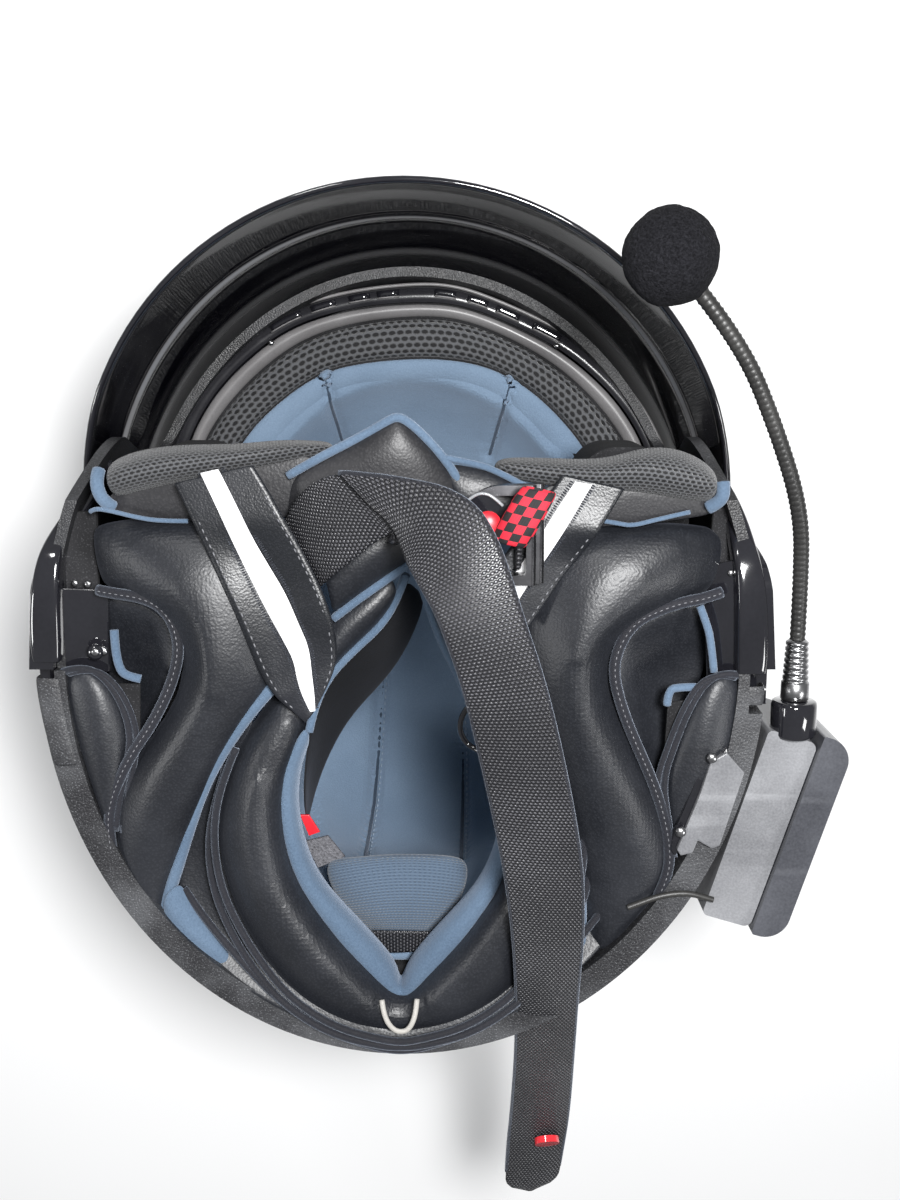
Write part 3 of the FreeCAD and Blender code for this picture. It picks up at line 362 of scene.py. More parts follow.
@dataclass(frozen=True)
class Webbing(Finish):
    """Woven nylon strap: staggered floats and ribbed selvedges."""

    pitch: float = 1.5
    half_width: float = 12.5

    def paint(self, kit: Shader) -> None:
        """Floats across the weave, their tops painted paler as a glint, varied by a slow noise of wear."""
        along, across = kit.along()
        row = along * (1000.0 / (self.pitch * 0.82))
        shift = (row.floor() * 0.5)
        u = (across * (1000.0 / self.pitch) + shift).fract() - 0.5
        v = row.fract() - 0.5
        float_ = 1 - (u * u * 3.2 + v * v * 4.2).ramp(0.0, 1.0)
        yarn = kit.noise(2400.0, 2.0)
        slow = kit.noise(26.0, 2.0)
        # The float tops are painted paler as a glint, more where the slow wear noise is high.
        wear_and_glint = float_ ** 2.0 * (0.4 + slow.ramp(0.35, 0.7) * 0.6)
        kit.give(Base_Color=kit.mix(wear_and_glint * 0.85 + yarn * 0.15, self.low, self.high),
                 Roughness=self.rough - wear_and_glint * 0.14,
                 Normal=kit.bump((float_, 0.42), (yarn, 0.05)), Specular_IOR_Level=0.55)


@dataclass(frozen=True)
class Checker(Finish):
    """A narrow woven tape of small red and black squares."""

    square: float = 3.3

    def paint(self, kit: Shader) -> None:
        """Squares on the cloth map, with threads."""
        along, across = kit.along()
        step = 1000.0 / self.square
        parity = (((along * step).floor() + (across * step).floor()) * 0.5).fract().above(0.25)
        threads = (across * (2000.0 * math.pi / 0.55)).sin() * (along * (2000.0 * math.pi / 0.6)).sin()
        kit.give(Base_Color=kit.mix(parity, self.low, self.high), Roughness=self.rough,
                 Normal=kit.bump((threads * 0.5 + 0.5, 0.12)))


@dataclass(frozen=True)
class Reflective(Finish):
    """White reflective tape with fine beads and a few creases."""

    def paint(self, kit: Shader) -> None:
        """Beads and creases; paler where the crease noise is high, with a painted glow."""
        beads = kit.cells(2600.0)
        creases = kit.noise(90.0, 4.0)
        # The emission is a painted glow standing in for the tape's bright return of the lamps.
        kit.give(Base_Color=kit.mix(creases.ramp(0.25, 0.6), self.low, self.high), Roughness=self.rough,
                 Normal=kit.bump((creases, 0.25), (beads, 0.03)), Emission_Color=self.high,
                 Emission_Strength=0.18)


@dataclass(frozen=True)
class Moulded(Finish):
    """Moulded plastic or metal: a fine texture, slow variation and a few rubbed marks."""

    texture: float = 0.03
    grain: float = 1400.0
    metal: float = 0.0
    coat: float = 0.0
    marks: float = 0.12

    def paint(self, kit: Shader) -> None:
        """Texture, smudges and rubbed marks."""
        fine = kit.noise(self.grain, 3.0)
        slow = kit.noise(38.0, 4.0)
        streak = kit.noise(9.0, 5.0, kit.node("ShaderNodeMapping", {}, {
            "Vector": kit.place(), "Scale": (1.0, 14.0, 9.0), "Rotation": (0.2, 0.5, 0.9)}))
        rubbed = streak.ramp(0.56, 0.72)
        kit.give(Base_Color=kit.mix(fine * 0.5 + slow.ramp(0.3, 0.75) * 0.35 + rubbed * self.marks * 0.4,
                                    self.low, self.high),
                 Roughness=self.rough + (slow - 0.5) * 0.16 + rubbed * self.marks * 0.4,
                 Normal=kit.bump((slow, 0.12), (fine, self.texture)), Metallic=self.metal,
                 Coat_Weight=self.coat,
                 Coat_Roughness=0.05)


@dataclass(frozen=True)
class Fleck(Finish):
    """Matte paint or rubbery trim with pale flecks in its rough skin."""

    grain: float = 0.9

    def paint(self, kit: Shader) -> None:
        """Flecks and stipple."""
        stipple = kit.cells(1000.0 / self.grain)
        flecks = kit.noise(1900.0, 2.0).ramp(0.58, 0.7)
        slow = kit.noise(40.0, 4.0)
        kit.give(Base_Color=kit.mix(flecks * 0.75 + slow.ramp(0.35, 0.75) * 0.35, self.low, self.high),
                 Roughness=self.rough - flecks * 0.18 + slow * 0.1,
                 Normal=kit.bump((slow, 0.5), (1 - stipple, 0.16), (flecks, 0.04)))


@dataclass(frozen=True)
class Tinted(Finish):
    """Clear or smoked moulded sheet with faint smears and scratches."""

    alpha: float = 0.5

    def paint(self, kit: Shader) -> None:
        """Smears and fine scratches over a clear sheet."""
        smear = kit.noise(24.0, 5.0)
        scratch = kit.noise(60.0, 4.0, kit.node("ShaderNodeMapping", {}, {
            "Vector": kit.place(), "Scale": (1.0, 30.0, 12.0), "Rotation": (0.4, 0.1, 0.3)})).ramp(0.66, 0.72)
        kit.give(Base_Color=kit.mix(smear.ramp(0.3, 0.8), self.low, self.high),
                 Roughness=self.rough + smear.ramp(0.5, 0.8) * 0.12 + scratch * 0.25,
                 Alpha=self.alpha + smear.ramp(0.4, 0.8) * 0.06 + scratch * 0.06,
                 Normal=kit.bump((smear, 0.15)), Coat_Weight=0.6, Specular_IOR_Level=0.8)
        kit.material.surface_render_method = "BLENDED"


@dataclass(frozen=True)
class ShieldSheet(Finish):
    """Smoky clear sheet whose moulded steps, level with the rim, carry paler bands of painted highlight, with
    painted blurred reflections between them.
    """

    alpha: float = 0.985

    def paint(self, kit: Shader) -> None:
        """Painted highlight bands by height, painted blurred reflections, smears and hair scratches."""
        place = kit.place()
        height = kit.node("ShaderNodeSeparateXYZ", inputs={0: place}, output="Z") * 1000
        drawn = kit.node("ShaderNodeMapping", {}, {"Vector": place, "Scale": (1.0, 1.0, 7.0)})
        reflection_waves = kit.noise(9.0, 3.0, drawn)
        smear = kit.noise(24.0, 5.0)
        scratch = kit.noise(60.0, 4.0, kit.node("ShaderNodeMapping", {}, {
            "Vector": place, "Scale": (1.0, 30.0, 12.0), "Rotation": (0.4, 0.1, 0.3)})).ramp(0.66, 0.72)
        # rib and step are painted highlights along the moulded steps; panel and outer are painted blurred
        # reflections, drawn out by the waves.
        rib = 1 - ((height - 140) / 2.2).size().ramp(0.4, 1.2)
        step = 1 - ((height - 101) / 5.0).size().ramp(0.1, 1.0)
        panel = (height - 106).ramp(0.0, 6.0) * (138 - height).ramp(0.0, 3.0) * reflection_waves.ramp(0.38, 0.66)
        outer = (height - 150).ramp(0.0, 10.0) * reflection_waves.ramp(0.5, 0.72)
        share = rib * 0.75 + step * 0.26 + panel * 0.05 + outer * 0.05
        kit.give(Base_Color=kit.mix(share, self.low, self.high),
                 Roughness=self.rough + smear.ramp(0.5, 0.8) * 0.10 + scratch * 0.25,
                 Alpha=self.alpha + step * 0.01,
                 Normal=kit.bump((smear, 0.12)), Coat_Weight=0.2, Coat_Roughness=0.03,
                 Specular_IOR_Level=0.25)
        kit.material.surface_render_method = "BLENDED"


@dataclass(frozen=True)
class OpenFoam(Finish):
    """Open-cell foam with pits."""

    cell: float = 0.9

    def paint(self, kit: Shader) -> None:
        """Pits and fuzz."""
        pits = kit.cells(1000.0 / self.cell, "F1")
        fuzz = kit.noise(1100.0, 5.0, roughness=0.75)
        kit.give(Base_Color=kit.mix(fuzz.ramp(0.3, 0.75), self.low, self.high), Roughness=self.rough,
                 Normal=kit.bump((pits, 0.5), (fuzz, 0.6)), Specular_IOR_Level=0.15)


class Palette:
    """Every finish of the helmet, made once and asked for by name."""

    FINISHES: tuple[Finish, ...] = (
        Leatherette("leatherette", (0.009, 0.010, 0.013), (0.026, 0.028, 0.034), 0.40),
        Leatherette("flap_leatherette", (0.014, 0.014, 0.016), (0.040, 0.039, 0.042), 0.44),
        Leatherette("band_leatherette", (0.006, 0.007, 0.009), (0.018, 0.019, 0.024), 0.36, 0.7),
        # Dark knit for the sewn seams, and painted shade in the brow folds.
        Knit("seam_knit", (0.020, 0.032, 0.052), (0.050, 0.075, 0.110), 0.95),
        # Near-black sheet on the cheek pad's inner wall: painted shade for the cast shadow there.
        Leatherette("dark_lining", (0.0015, 0.0015, 0.002), (0.004, 0.004, 0.006), 0.7),
        Knit("liner_knit", (0.105, 0.155, 0.225), (0.210, 0.290, 0.395), 0.92),
        # A darker copy of the liner knit for the rear: painted shade of the cavity.
        Knit("rear_knit", (0.080, 0.110, 0.155), (0.165, 0.212, 0.280), 0.94),
        Knit("edge_knit", (0.045, 0.075, 0.120), (0.125, 0.180, 0.255), 0.95, 0.9),
        Knit("binding", (0.003, 0.003, 0.004), (0.018, 0.018, 0.024), 0.62, 0.8),
        Ribbed("terry", (0.040, 0.062, 0.098), (0.120, 0.165, 0.225), 0.93, 1.25),
        Mesh("mesh_fabric", (0.004, 0.004, 0.005), (0.085, 0.088, 0.095), 0.7),
        Webbing("webbing", (0.002, 0.002, 0.003), (0.100, 0.100, 0.112), 0.38),
        Checker("checker_tape", (0.012, 0.010, 0.012), (0.640, 0.018, 0.040), 0.6),
        Reflective("reflective", (0.70, 0.70, 0.71), (0.90, 0.90, 0.91), 0.35),
        Fleck("rim_fleck", (0.012, 0.012, 0.014), (0.150, 0.155, 0.165), 0.48),
        Fleck("shell_fleck", (0.006, 0.006, 0.007), (0.060, 0.062, 0.068), 0.42, 0.7),
        Fleck("rough_foam", (0.004, 0.004, 0.005), (0.042, 0.042, 0.046), 0.9, 1.4),
        Moulded("brow_satin", (0.110, 0.106, 0.108), (0.230, 0.225, 0.228), 0.36, 0.03),
        Moulded("gloss_black", (0.006, 0.006, 0.008), (0.016, 0.016, 0.020), 0.09, 0.004, 900.0, 0.0, 1.0,
                0.05),
        Moulded("pivot_plastic", (0.020, 0.020, 0.022), (0.055, 0.055, 0.060), 0.42, 0.03),
        Moulded("unit_matte", (0.080, 0.081, 0.088), (0.310, 0.315, 0.330), 0.42, 0.06, 1200.0, 0.0, 0.0,
                0.4),
        Moulded("unit_satin", (0.022, 0.023, 0.028), (0.110, 0.114, 0.130), 0.30, 0.03, 1200.0, 0.0, 0.3,
                0.3),
        Moulded("cable_rubber", (0.008, 0.008, 0.008), (0.045, 0.044, 0.042), 0.42, 0.05),
        Moulded("steel", (0.26, 0.26, 0.27), (0.52, 0.52, 0.52), 0.28, 0.02, 900.0, 1.0),
        Moulded("ring_steel", (0.05, 0.05, 0.055), (0.12, 0.12, 0.125), 0.25, 0.01, 900.0, 1.0),
        Moulded("snap_red", (0.560, 0.012, 0.022), (0.800, 0.040, 0.050), 0.16, 0.01, 900.0, 0.0, 0.9),
        Moulded("red_plastic", (0.600, 0.010, 0.020), (0.800, 0.030, 0.045), 0.35, 0.02),
        Moulded("cream_lip", (0.30, 0.29, 0.27), (0.46, 0.44, 0.41), 0.6, 0.08),
        Moulded("thread", (0.11, 0.112, 0.125), (0.22, 0.222, 0.235), 0.6, 0.02),
        Moulded("pale_thread", (0.20, 0.26, 0.34), (0.36, 0.44, 0.54), 0.8, 0.02),
        ShieldSheet("clear_shield", (0.0015, 0.0015, 0.003), (0.30, 0.30, 0.31), 0.05),
        Mesh("brow_mesh", (0.006, 0.006, 0.007), (0.095, 0.098, 0.105), 0.75, 3.6),
        Moulded("brow_gutter", (0.008, 0.008, 0.010), (0.040, 0.040, 0.045), 0.22, 0.02),
        Tinted("smoke_visor", (0.004, 0.004, 0.005), (0.012, 0.012, 0.015), 0.07, 0.93),
        Tinted("clear_plastic", (0.35, 0.36, 0.38), (0.60, 0.61, 0.63), 0.12, 0.45),
        OpenFoam("windscreen_foam", (0.002, 0.002, 0.003), (0.020, 0.020, 0.024), 0.95),
        OpenFoam("grey_patch", (0.10, 0.10, 0.11), (0.22, 0.22, 0.24), 0.9),
    )

    def __init__(self) -> None:
        """Make every material."""
        self.made = {finish.name: finish.make() for finish in self.FINISHES}

    def __getitem__(self, name: str) -> bpy.types.Material:
        """A material by its finish's name."""
        return self.made[name]


# Mesh making


class Loft:
    """A surface through ribs of points, made by extruding the first rib from one to the next."""

    def __init__(self, name: str, ribs: Sequence[Sequence[Vector]], closed: bool = False,
                 capped: bool = False) -> None:
        """Build the mesh.

        Args:
            name: The object's name.
            ribs: Rows of points with the same count, in metres.
            closed: Whether each rib is a ring.
            capped: Whether the end rings are filled.
        """
        self.name = name
        self.closed = closed
        self.mesh = bmesh.new()
        self.uv = self.mesh.loops.layers.uv.new("Cloth")
        row = [self.mesh.verts.new(point) for point in ribs[0]]
        pairs = list(zip(row, row[1:])) + ([(row[-1], row[0])] if closed else [])
        edges = [self.mesh.edges.new(pair) for pair in pairs]
        rows = [row]
        for rib in ribs[1:]:
            grown = bmesh.ops.extrude_edge_only(self.mesh, edges=edges)["geom"]
            new_edges = [part for part in grown if isinstance(part, bmesh.types.BMEdge)]
            links = {vert: edge.other_vert(vert) for vert in rows[-1] for edge in vert.link_edges
                     if edge.other_vert(vert) not in rows[-1] and edge.other_vert(vert) in
                     {v for e in new_edges for v in e.verts}}
            row = [links[vert] for vert in rows[-1]]
            for vert, point in zip(row, rib):
                vert.co = point
            kept = set(row)
            edges = [edge for edge in new_edges if edge.verts[0] in kept and edge.verts[1] in kept]
            rows.append(row)
        self.rows = rows
        self._map()
        if capped:
            for ring in (rows[0], rows[-1]):
                bmesh.ops.contextual_create(self.mesh, geom=list(dict.fromkeys(
                    edge for vert in ring for edge in vert.link_edges if edge.other_vert(vert) in ring)))
        bmesh.ops.remove_doubles(self.mesh, verts=self.mesh.verts, dist=1e-6)
        bmesh.ops.recalc_face_normals(self.mesh, faces=self.mesh.faces)

    def _map(self) -> None:
        """Lay the cloth map along and across the ribs, in metres."""
        place: dict[bmesh.types.BMVert, tuple[float, float]] = {}
        run = 0.0
        for number, row in enumerate(self.rows):
            if number:
                run += sum((a.co - b.co).length for a, b in zip(row, self.rows[number - 1])) / len(row)
            width = 0.0
            spans = [(b.co - a.co).length for a, b in zip(row, row[1:])]
            half = sum(spans) / 2
            for column, vert in enumerate(row):
                place[vert] = (run, width - half)
                if column < len(spans):
                    width += spans[column]
        for face in self.mesh.faces:
            for loop in face.loops:
                loop[self.uv].uv = place[loop.vert]

    def done(self, material: bpy.types.Material) -> bpy.types.Object:
        """Turn the mesh into a smooth object."""
        return finished(self.name, self.mesh, material)


def finished(name: str, mesh: bmesh.types.BMesh, material: bpy.types.Material,
             smooth: bool = True) -> bpy.types.Object:
    """Make an object of a bmesh.

    Args:
        name: The object's name.
        mesh: The mesh, which is freed.
        material: Its material.
        smooth: Whether its faces are smooth.

    Returns:
        The object, at the origin.
    """
    data = bpy.data.meshes.new(name)
    for face in mesh.faces:
        face.smooth = smooth
    mesh.to_mesh(data)
    mesh.free()
    data.materials.append(material)
    made = bpy.data.objects.new(name, data)
    bpy.context.scene.collection.objects.link(made)
    return made


def smoothed(piece: bpy.types.Object, levels: int = 2, wall: float = 0.0, offset: float = -1.0,
             crease: float = 0.0) -> bpy.types.Object:
    """Give a piece a wall and subdivision, and apply both.

    Args:
        piece: The piece.
        levels: Subdivision levels.
        wall: Wall in millimetres, or 0 for none.
        offset: Which way the wall grows.
        crease: Crease of the wall's rim.

    Returns:
        The piece.
    """
    if wall:
        solid = piece.modifiers.new("Wall", "SOLIDIFY")
        solid.thickness = wall * MM
        solid.offset = offset
        solid.edge_crease_rim = crease
        solid.edge_crease_outer = crease
        solid.use_even_offset = True
    if levels:
        sub = piece.modifiers.new("Smooth", "SUBSURF")
        sub.levels = sub.render_levels = levels
        sub.boundary_smooth = "PRESERVE_CORNERS"
    return applied(piece)


def applied(piece: bpy.types.Object) -> bpy.types.Object:
    """Apply every modifier of a piece."""
    bpy.context.view_layer.update()
    graph = bpy.context.evaluated_depsgraph_get()
    data = bpy.data.meshes.new_from_object(piece.evaluated_get(graph), preserve_all_data_layers=True,
                                           depsgraph=graph)
    old = piece.data
    piece.modifiers.clear()
    piece.data = data
    bpy.data.meshes.remove(old)
    data.name = piece.name
    return piece


def fine_line(points: Sequence[Vector], closed: bool = False) -> list[Vector]:
    """Points read from the smooth line through or near a route's points.

    Args:
        points: The route.
        closed: Whether it is a ring.

    Returns:
        The line's points.
    """
    curve = bpy.data.curves.new("line", "CURVE")
    curve.dimensions = "3D"
    spline = curve.splines.new("NURBS")
    spline.points.add(len(points) - 1)
    for knot, point in zip(spline.points, points):
        knot.co = (*point, 1.0)
    spline.order_u = 3
    spline.use_endpoint_u = not closed
    spline.use_cyclic_u = closed
    spline.resolution_u = 8
    holder = bpy.data.objects.new("line", curve)
    bpy.context.scene.collection.objects.link(holder)
    bpy.context.view_layer.update()
    data = bpy.data.meshes.new_from_object(holder)
    line = [vertex.co.copy() for vertex in data.vertices]
    bpy.data.meshes.remove(data)
    bpy.data.objects.remove(holder)
    bpy.data.curves.remove(curve)
    return line


def frames(line: Sequence[Vector], up: Vector) -> list[tuple[Vector, Vector, Vector]]:
    """Tangent, side and up vectors along a line, with up as near as can be to one direction."""
    made = []
    for number, point in enumerate(line):
        ahead = line[min(number + 1, len(line) - 1)] - line[max(number - 1, 0)]
        ahead.normalize()
        side = ahead.cross(up)
        side = side.normalized() if side.length > 1e-6 else ahead.orthogonal().normalized()
        made.append((ahead, side, side.cross(ahead).normalized()))
    return made


def tube(name: str, points: Sequence[Vector], radius: float, material: bpy.types.Material,
         flat: float = 1.0, sides: int = 10, up: Vector = Vector((0.0, 0.0, 1.0)), smooth: bool = True,
         twist: Callable[[int, int], float] | None = None) -> bpy.types.Object:
    """A closed tube along a route.

    Args:
        name: The object's name.
        points: The route, in metres.
        radius: Its radius in millimetres.
        material: Its material.
        flat: Its height as a share of its width.
        sides: How many sides it has.
        up: The way its height points.
        smooth: Whether the route's corners are rounded.
        twist: Radius factor for a ring and a side, if any.

    Returns:
        The tube.
    """
    line = fine_line(points) if smooth and len(points) > 2 else list(points)
    ribs = []
    for ring, (point, (_, side, high)) in enumerate(zip(line, frames(line, up))):
        rib = []
        for corner in range(sides):
            angle = 2 * math.pi * corner / sides
            grow = twist(ring, corner) if twist else 1.0
            rib.append(point + (side * math.cos(angle) + high * math.sin(angle) * flat) * radius * MM * grow)
        ribs.append(rib)
    return Loft(name, ribs, closed=True, capped=True).done(material)


def lathe(name: str, profile: Sequence[tuple[float, float]], centre: tuple[float, float],
          material: bpy.types.Material, sides: int = 32) -> bpy.types.Object:
    """A turned piece about an axis along Y.

    Args:
        name: The object's name.
        profile: Places along Y with their radii, in millimetres.
        centre: X and Z of the axis, in millimetres.
        material: Its material.
        sides: Faces round it.

    Returns:
        The piece.
    """
    ribs = [[Vector((centre[0] + radius * math.cos(turn), y, centre[1] + radius * math.sin(turn))) * MM
             for turn in (2 * math.pi * side / sides for side in range(sides))] for y, radius in profile]
    return Loft(name, ribs, closed=True, capped=True).done(material)


def plate(name: str, outline: Sequence[Point], thickness: float, material: bpy.types.Material,
          edge: float = 0.5) -> bpy.types.Object:
    """A flat piece with softened edges.

    Args:
        name: The object's name.
        outline: Its corners in millimetres.
        thickness: How far it goes down, in millimetres.
        material: Its material.
        edge: Width of the softened edge in millimetres.

    Returns:
        The piece.
    """
    mesh = bmesh.new()
    face = bmesh.ops.contextual_create(mesh,
                                       geom=[mesh.verts.new(point) for point in metres(outline)])["faces"]
    grown = bmesh.ops.extrude_face_region(mesh, geom=face)["geom"]
    bmesh.ops.translate(mesh, vec=(0.0, 0.0, -thickness * MM),
                        verts=[part for part in grown if isinstance(part, bmesh.types.BMVert)])
    bmesh.ops.bevel(mesh, geom=list(mesh.edges), offset=edge * MM, segments=2, profile=0.6, affect="EDGES")
    bmesh.ops.recalc_face_normals(mesh, faces=mesh.faces)
    return finished(name, mesh, material, smooth=False)


def ball(name: str, spot: Point, size: Point, material: bpy.types.Material) -> bpy.types.Object:
    """A small rounded piece such as a rivet head, with its half sizes in millimetres."""
    mesh = bmesh.new()
    bmesh.ops.create_uvsphere(mesh, u_segments=20, v_segments=12, radius=1.0, matrix=Matrix.Translation(
        Vector(spot) * MM) @ Matrix.Diagonal((size[0] * MM, size[1] * MM, size[2] * MM, 1.0)))
    return finished(name, mesh, material)


def stitches(name: str, points: Sequence[Vector], material: bpy.types.Material, pitch: float = 2.6,
             length: float = 1.8, thick: float = 0.34, up: Vector = Vector((0.0, 0.0, 1.0)),
             lift: float = 0.1, across: bool = False) -> bpy.types.Object:
    """A row of short stitches along a route.

    Args:
        name: The object's name.
        points: The route, in metres.
        material: The thread.
        pitch: Distance from stitch to stitch in millimetres.
        length: Length of one stitch in millimetres.
        thick: Thread radius in millimetres.
        up: Outward direction.
        lift: How far the thread stands proud, in millimetres.
        across: Whether each stitch lies across the row.

    Returns:
        The row, as one mesh.
    """
    line = fine_line(points) if len(points) > 2 else list(points)
    mesh = bmesh.new()
    run, due = 0.0, pitch * MM * 0.5
    for start, end in zip(line, line[1:]):
        step = end - start
        while step.length > 1e-7 and run + step.length >= due:
            centre = start + step.normalized() * (due - run) + up * lift * MM
            ahead = step.normalized()
            side = ahead.cross(up).normalized()
            if across:
                ahead, side = side, -ahead
            turn = Matrix((ahead, side, side.cross(ahead))).transposed().to_4x4()
            size = Matrix.Diagonal((length * MM / 2, thick * MM, thick * MM, 1.0))
            bmesh.ops.create_icosphere(mesh, subdivisions=1, radius=1.0,
                                       matrix=Matrix.Translation(centre) @ turn @ size)
            due += pitch * MM
        run += step.length
    return finished(name, mesh, material)


def ribbon(name: str, pairs: Sequence[tuple[Point, Point]], thickness: float,
           material: bpy.types.Material, columns: int = 6, bow: float = 0.0, rounded: float = 0.0,
           ground: "Ground | None" = None, lift: float = 0.0) -> bpy.types.Object:
    """A flat strap between two edge lines.

    Args:
        name: The object's name.
        pairs: Opposite edge points, in millimetres.
        thickness: Its thickness in millimetres.
        material: Its material.
        columns: Faces across.
        bow: How far its middle stands up, in millimetres.
        rounded: Length of the rounded end in millimetres, or 0.
        ground: What the strap is laid on, if anything.
        lift: How far over the ground its underside lies, in millimetres.

    Returns:
        The strap.
    """
    first = fine_line(metres(pair[0] for pair in pairs))
    second = fine_line(metres(pair[1] for pair in pairs))
    middle = [(a + b) / 2 for a, b in zip(first, second)]
    ends = [0.0] * len(middle)
    for number in range(len(middle) - 2, -1, -1):
        ends[number] = ends[number + 1] + (middle[number + 1] - middle[number]).length
    ribs = []
    for number, (a, b) in enumerate(zip(first, second)):
        ahead = middle[min(number + 1, len(middle) - 1)] - middle[max(number - 1, 0)]
        out = ahead.cross(b - a).normalized()
        if out.z < 0 and abs(out.z) > 0.2:
            out = -out
        narrow = 1.0
        if rounded and ends[number] < rounded * MM:
            short = 1 - ends[number] / (rounded * MM)
            narrow = math.sqrt(max(0.02, 1 - short * short))
        rib = []
        for column in range(columns + 1):
            share = column / columns
            across = 0.5 + (share - 0.5) * narrow
            rib.append(a.lerp(b, across) + out * bow * MM * math.sin(math.pi * share))
        ribs.append(rib)
    if ground is not None:
        ribs = ground.draped(ribs, lift + thickness / 2)
    return smoothed(Loft(name, ribs).done(material), 1, thickness, 0.0, 0.6)


def puffed(piece: bpy.types.Object, voxel: float = 4.0, pressure: float = 4.0, limit: float = 5.0,
           held: Callable[[Vector], float] | None = None, frames_: int = 20) -> bpy.types.Object:
    """Blow a closed form up as stuffed cloth, and keep the result.

    Args:
        piece: The closed form.
        voxel: Size of its new faces in millimetres.
        pressure: Air pressure inside.
        limit: Farthest that any point moves, in millimetres.
        held: How firmly a point stays, from 0 to 1.
        frames_: Simulation steps.

    Returns:
        The piece.
    """
    remesh = piece.modifiers.new("Even", "REMESH")
    remesh.mode = "VOXEL"
    remesh.voxel_size = voxel * MM
    applied(piece)
    start = [vertex.co.copy() for vertex in piece.data.vertices]
    hold = [held(point) if held else 0.0 for point in start]
    group = piece.vertex_groups.new(name="Held")
    for number, share in enumerate(hold):
        if share > 0:
            group.add([number], share, "REPLACE")
    cloth = piece.modifiers.new("Cloth", "CLOTH")
    cloth.settings.use_pressure = True
    cloth.settings.uniform_pressure_force = pressure
    cloth.settings.effector_weights.gravity = 0.0
    cloth.settings.mass = 0.3
    cloth.settings.tension_stiffness = 25.0
    cloth.settings.compression_stiffness = 12.0
    cloth.settings.bending_stiffness = 0.6
    if held:
        cloth.settings.vertex_group_mass = "Held"
    cloth.point_cache.frame_start = 1
    cloth.point_cache.frame_end = frames_
    scene = bpy.context.scene
    for number in range(1, frames_ + 1):
        scene.frame_set(number)
    applied(piece)
    scene.frame_set(1)
    for vertex, old, share in zip(piece.data.vertices, start, hold):
        move = (vertex.co - old) * (1 - share)
        if move.length > limit * MM:
            move = move.normalized() * limit * MM
        vertex.co = old + move
    relaxed(piece, 3, hold)
    return smoothed(piece, 1)


def relaxed(piece: bpy.types.Object, times: int, hold: Sequence[float] | None = None) -> None:
    """Smooth a piece's points a little, those that are held less."""
    mesh = bmesh.new()
    mesh.from_mesh(piece.data)
    free = [vert for vert in mesh.verts if not hold or hold[vert.index] < 0.5]
    for _ in range(times):
        bmesh.ops.smooth_vert(mesh, verts=free, factor=0.5, use_axis_x=True, use_axis_y=True, use_axis_z=True)
    mesh.to_mesh(piece.data)
    mesh.free()


def grooved(piece: bpy.types.Object, line: Sequence[Vector], width: float, depth: float) -> None:
    """Press a soft groove into a piece along a line.

    Args:
        piece: The piece.
        line: The groove's middle, in metres.
        width: Its width in millimetres.
        depth: Its depth in millimetres.
    """
    tree = KDTree(len(line))
    for number, point in enumerate(line):
        tree.insert(point, number)
    tree.balance()
    for vertex in piece.data.vertices:
        gap = tree.find(vertex.co)[2]
        if gap < width * MM * 2:
            vertex.co -= vertex.normal * depth * MM * math.exp(-(gap / (width * MM)) ** 2)


def panel(name: str, rows: Sequence[Sequence[Point]], material: bpy.types.Material, levels: int,
          wall: float) -> bpy.types.Object:
    """A smooth sheet through rows of points, with a wall of its own.

    Args:
        name: The piece's name.
        rows: The rows, in millimetres.
        material: Its finish.
        levels: How often it is smoothed.
        wall: Its thickness in millimetres.

    Returns:
        The piece.
    """
    return smoothed(Loft(name, [metres(row) for row in rows]).done(material), levels, wall)


def block(name: str, rows: Sequence[Sequence[Point]], floor: float,
          material: bpy.types.Material) -> bpy.types.Object:
    """A smooth closed form from rows of points, brought down to a floor at both ends.

    Args:
        name: The piece's name.
        rows: The rows, in millimetres.
        floor: The height of its underside, in millimetres.
        material: Its finish.

    Returns:
        The piece.
    """
    ribs = []
    for row in rows:
        low = [Vector((*Vector(row[-1]).xy, floor)), Vector((*Vector(row[0]).xy, floor))]
        ribs.append(metres(row) + [point * MM for point in low])
    return smoothed(Loft(name, ribs, closed=True, capped=True).done(material), 3)


def beside(pairs: Sequence[Sequence[Point]], edge: int, share: float) -> list[Point]:
    """A line along one edge of a band, moved toward its other edge by a share of the width."""
    return [tuple(Vector(pair[edge]).lerp(Vector(pair[1 - edge]), share)) for pair in pairs]


def stepped(corners: Sequence[Point], parts: int = 12) -> list[Point]:
    """Points at even shares of each leg of a line through corners."""
    return [tuple(Vector(start).lerp(Vector(end), share / parts))
            for start, end in zip(corners, corners[1:]) for share in range(parts)]


def dressed(node: str, material: bpy.types.Material) -> bpy.types.Object:
    """Give a CAD node that is shown as it is a finish."""
    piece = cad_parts[node]
    piece.data.materials.clear()
    piece.data.materials.append(material)
    return piece


def put(piece: bpy.types.Object, body: str, slot: str, *nodes: str) -> bpy.types.Object:
    """Make a piece ride, stand for nodes, and report it."""
    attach(piece, body)
    if nodes:
        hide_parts(*nodes)
    log.info("piece %s rides on %s", piece.name, body)
    return piece


# Studio


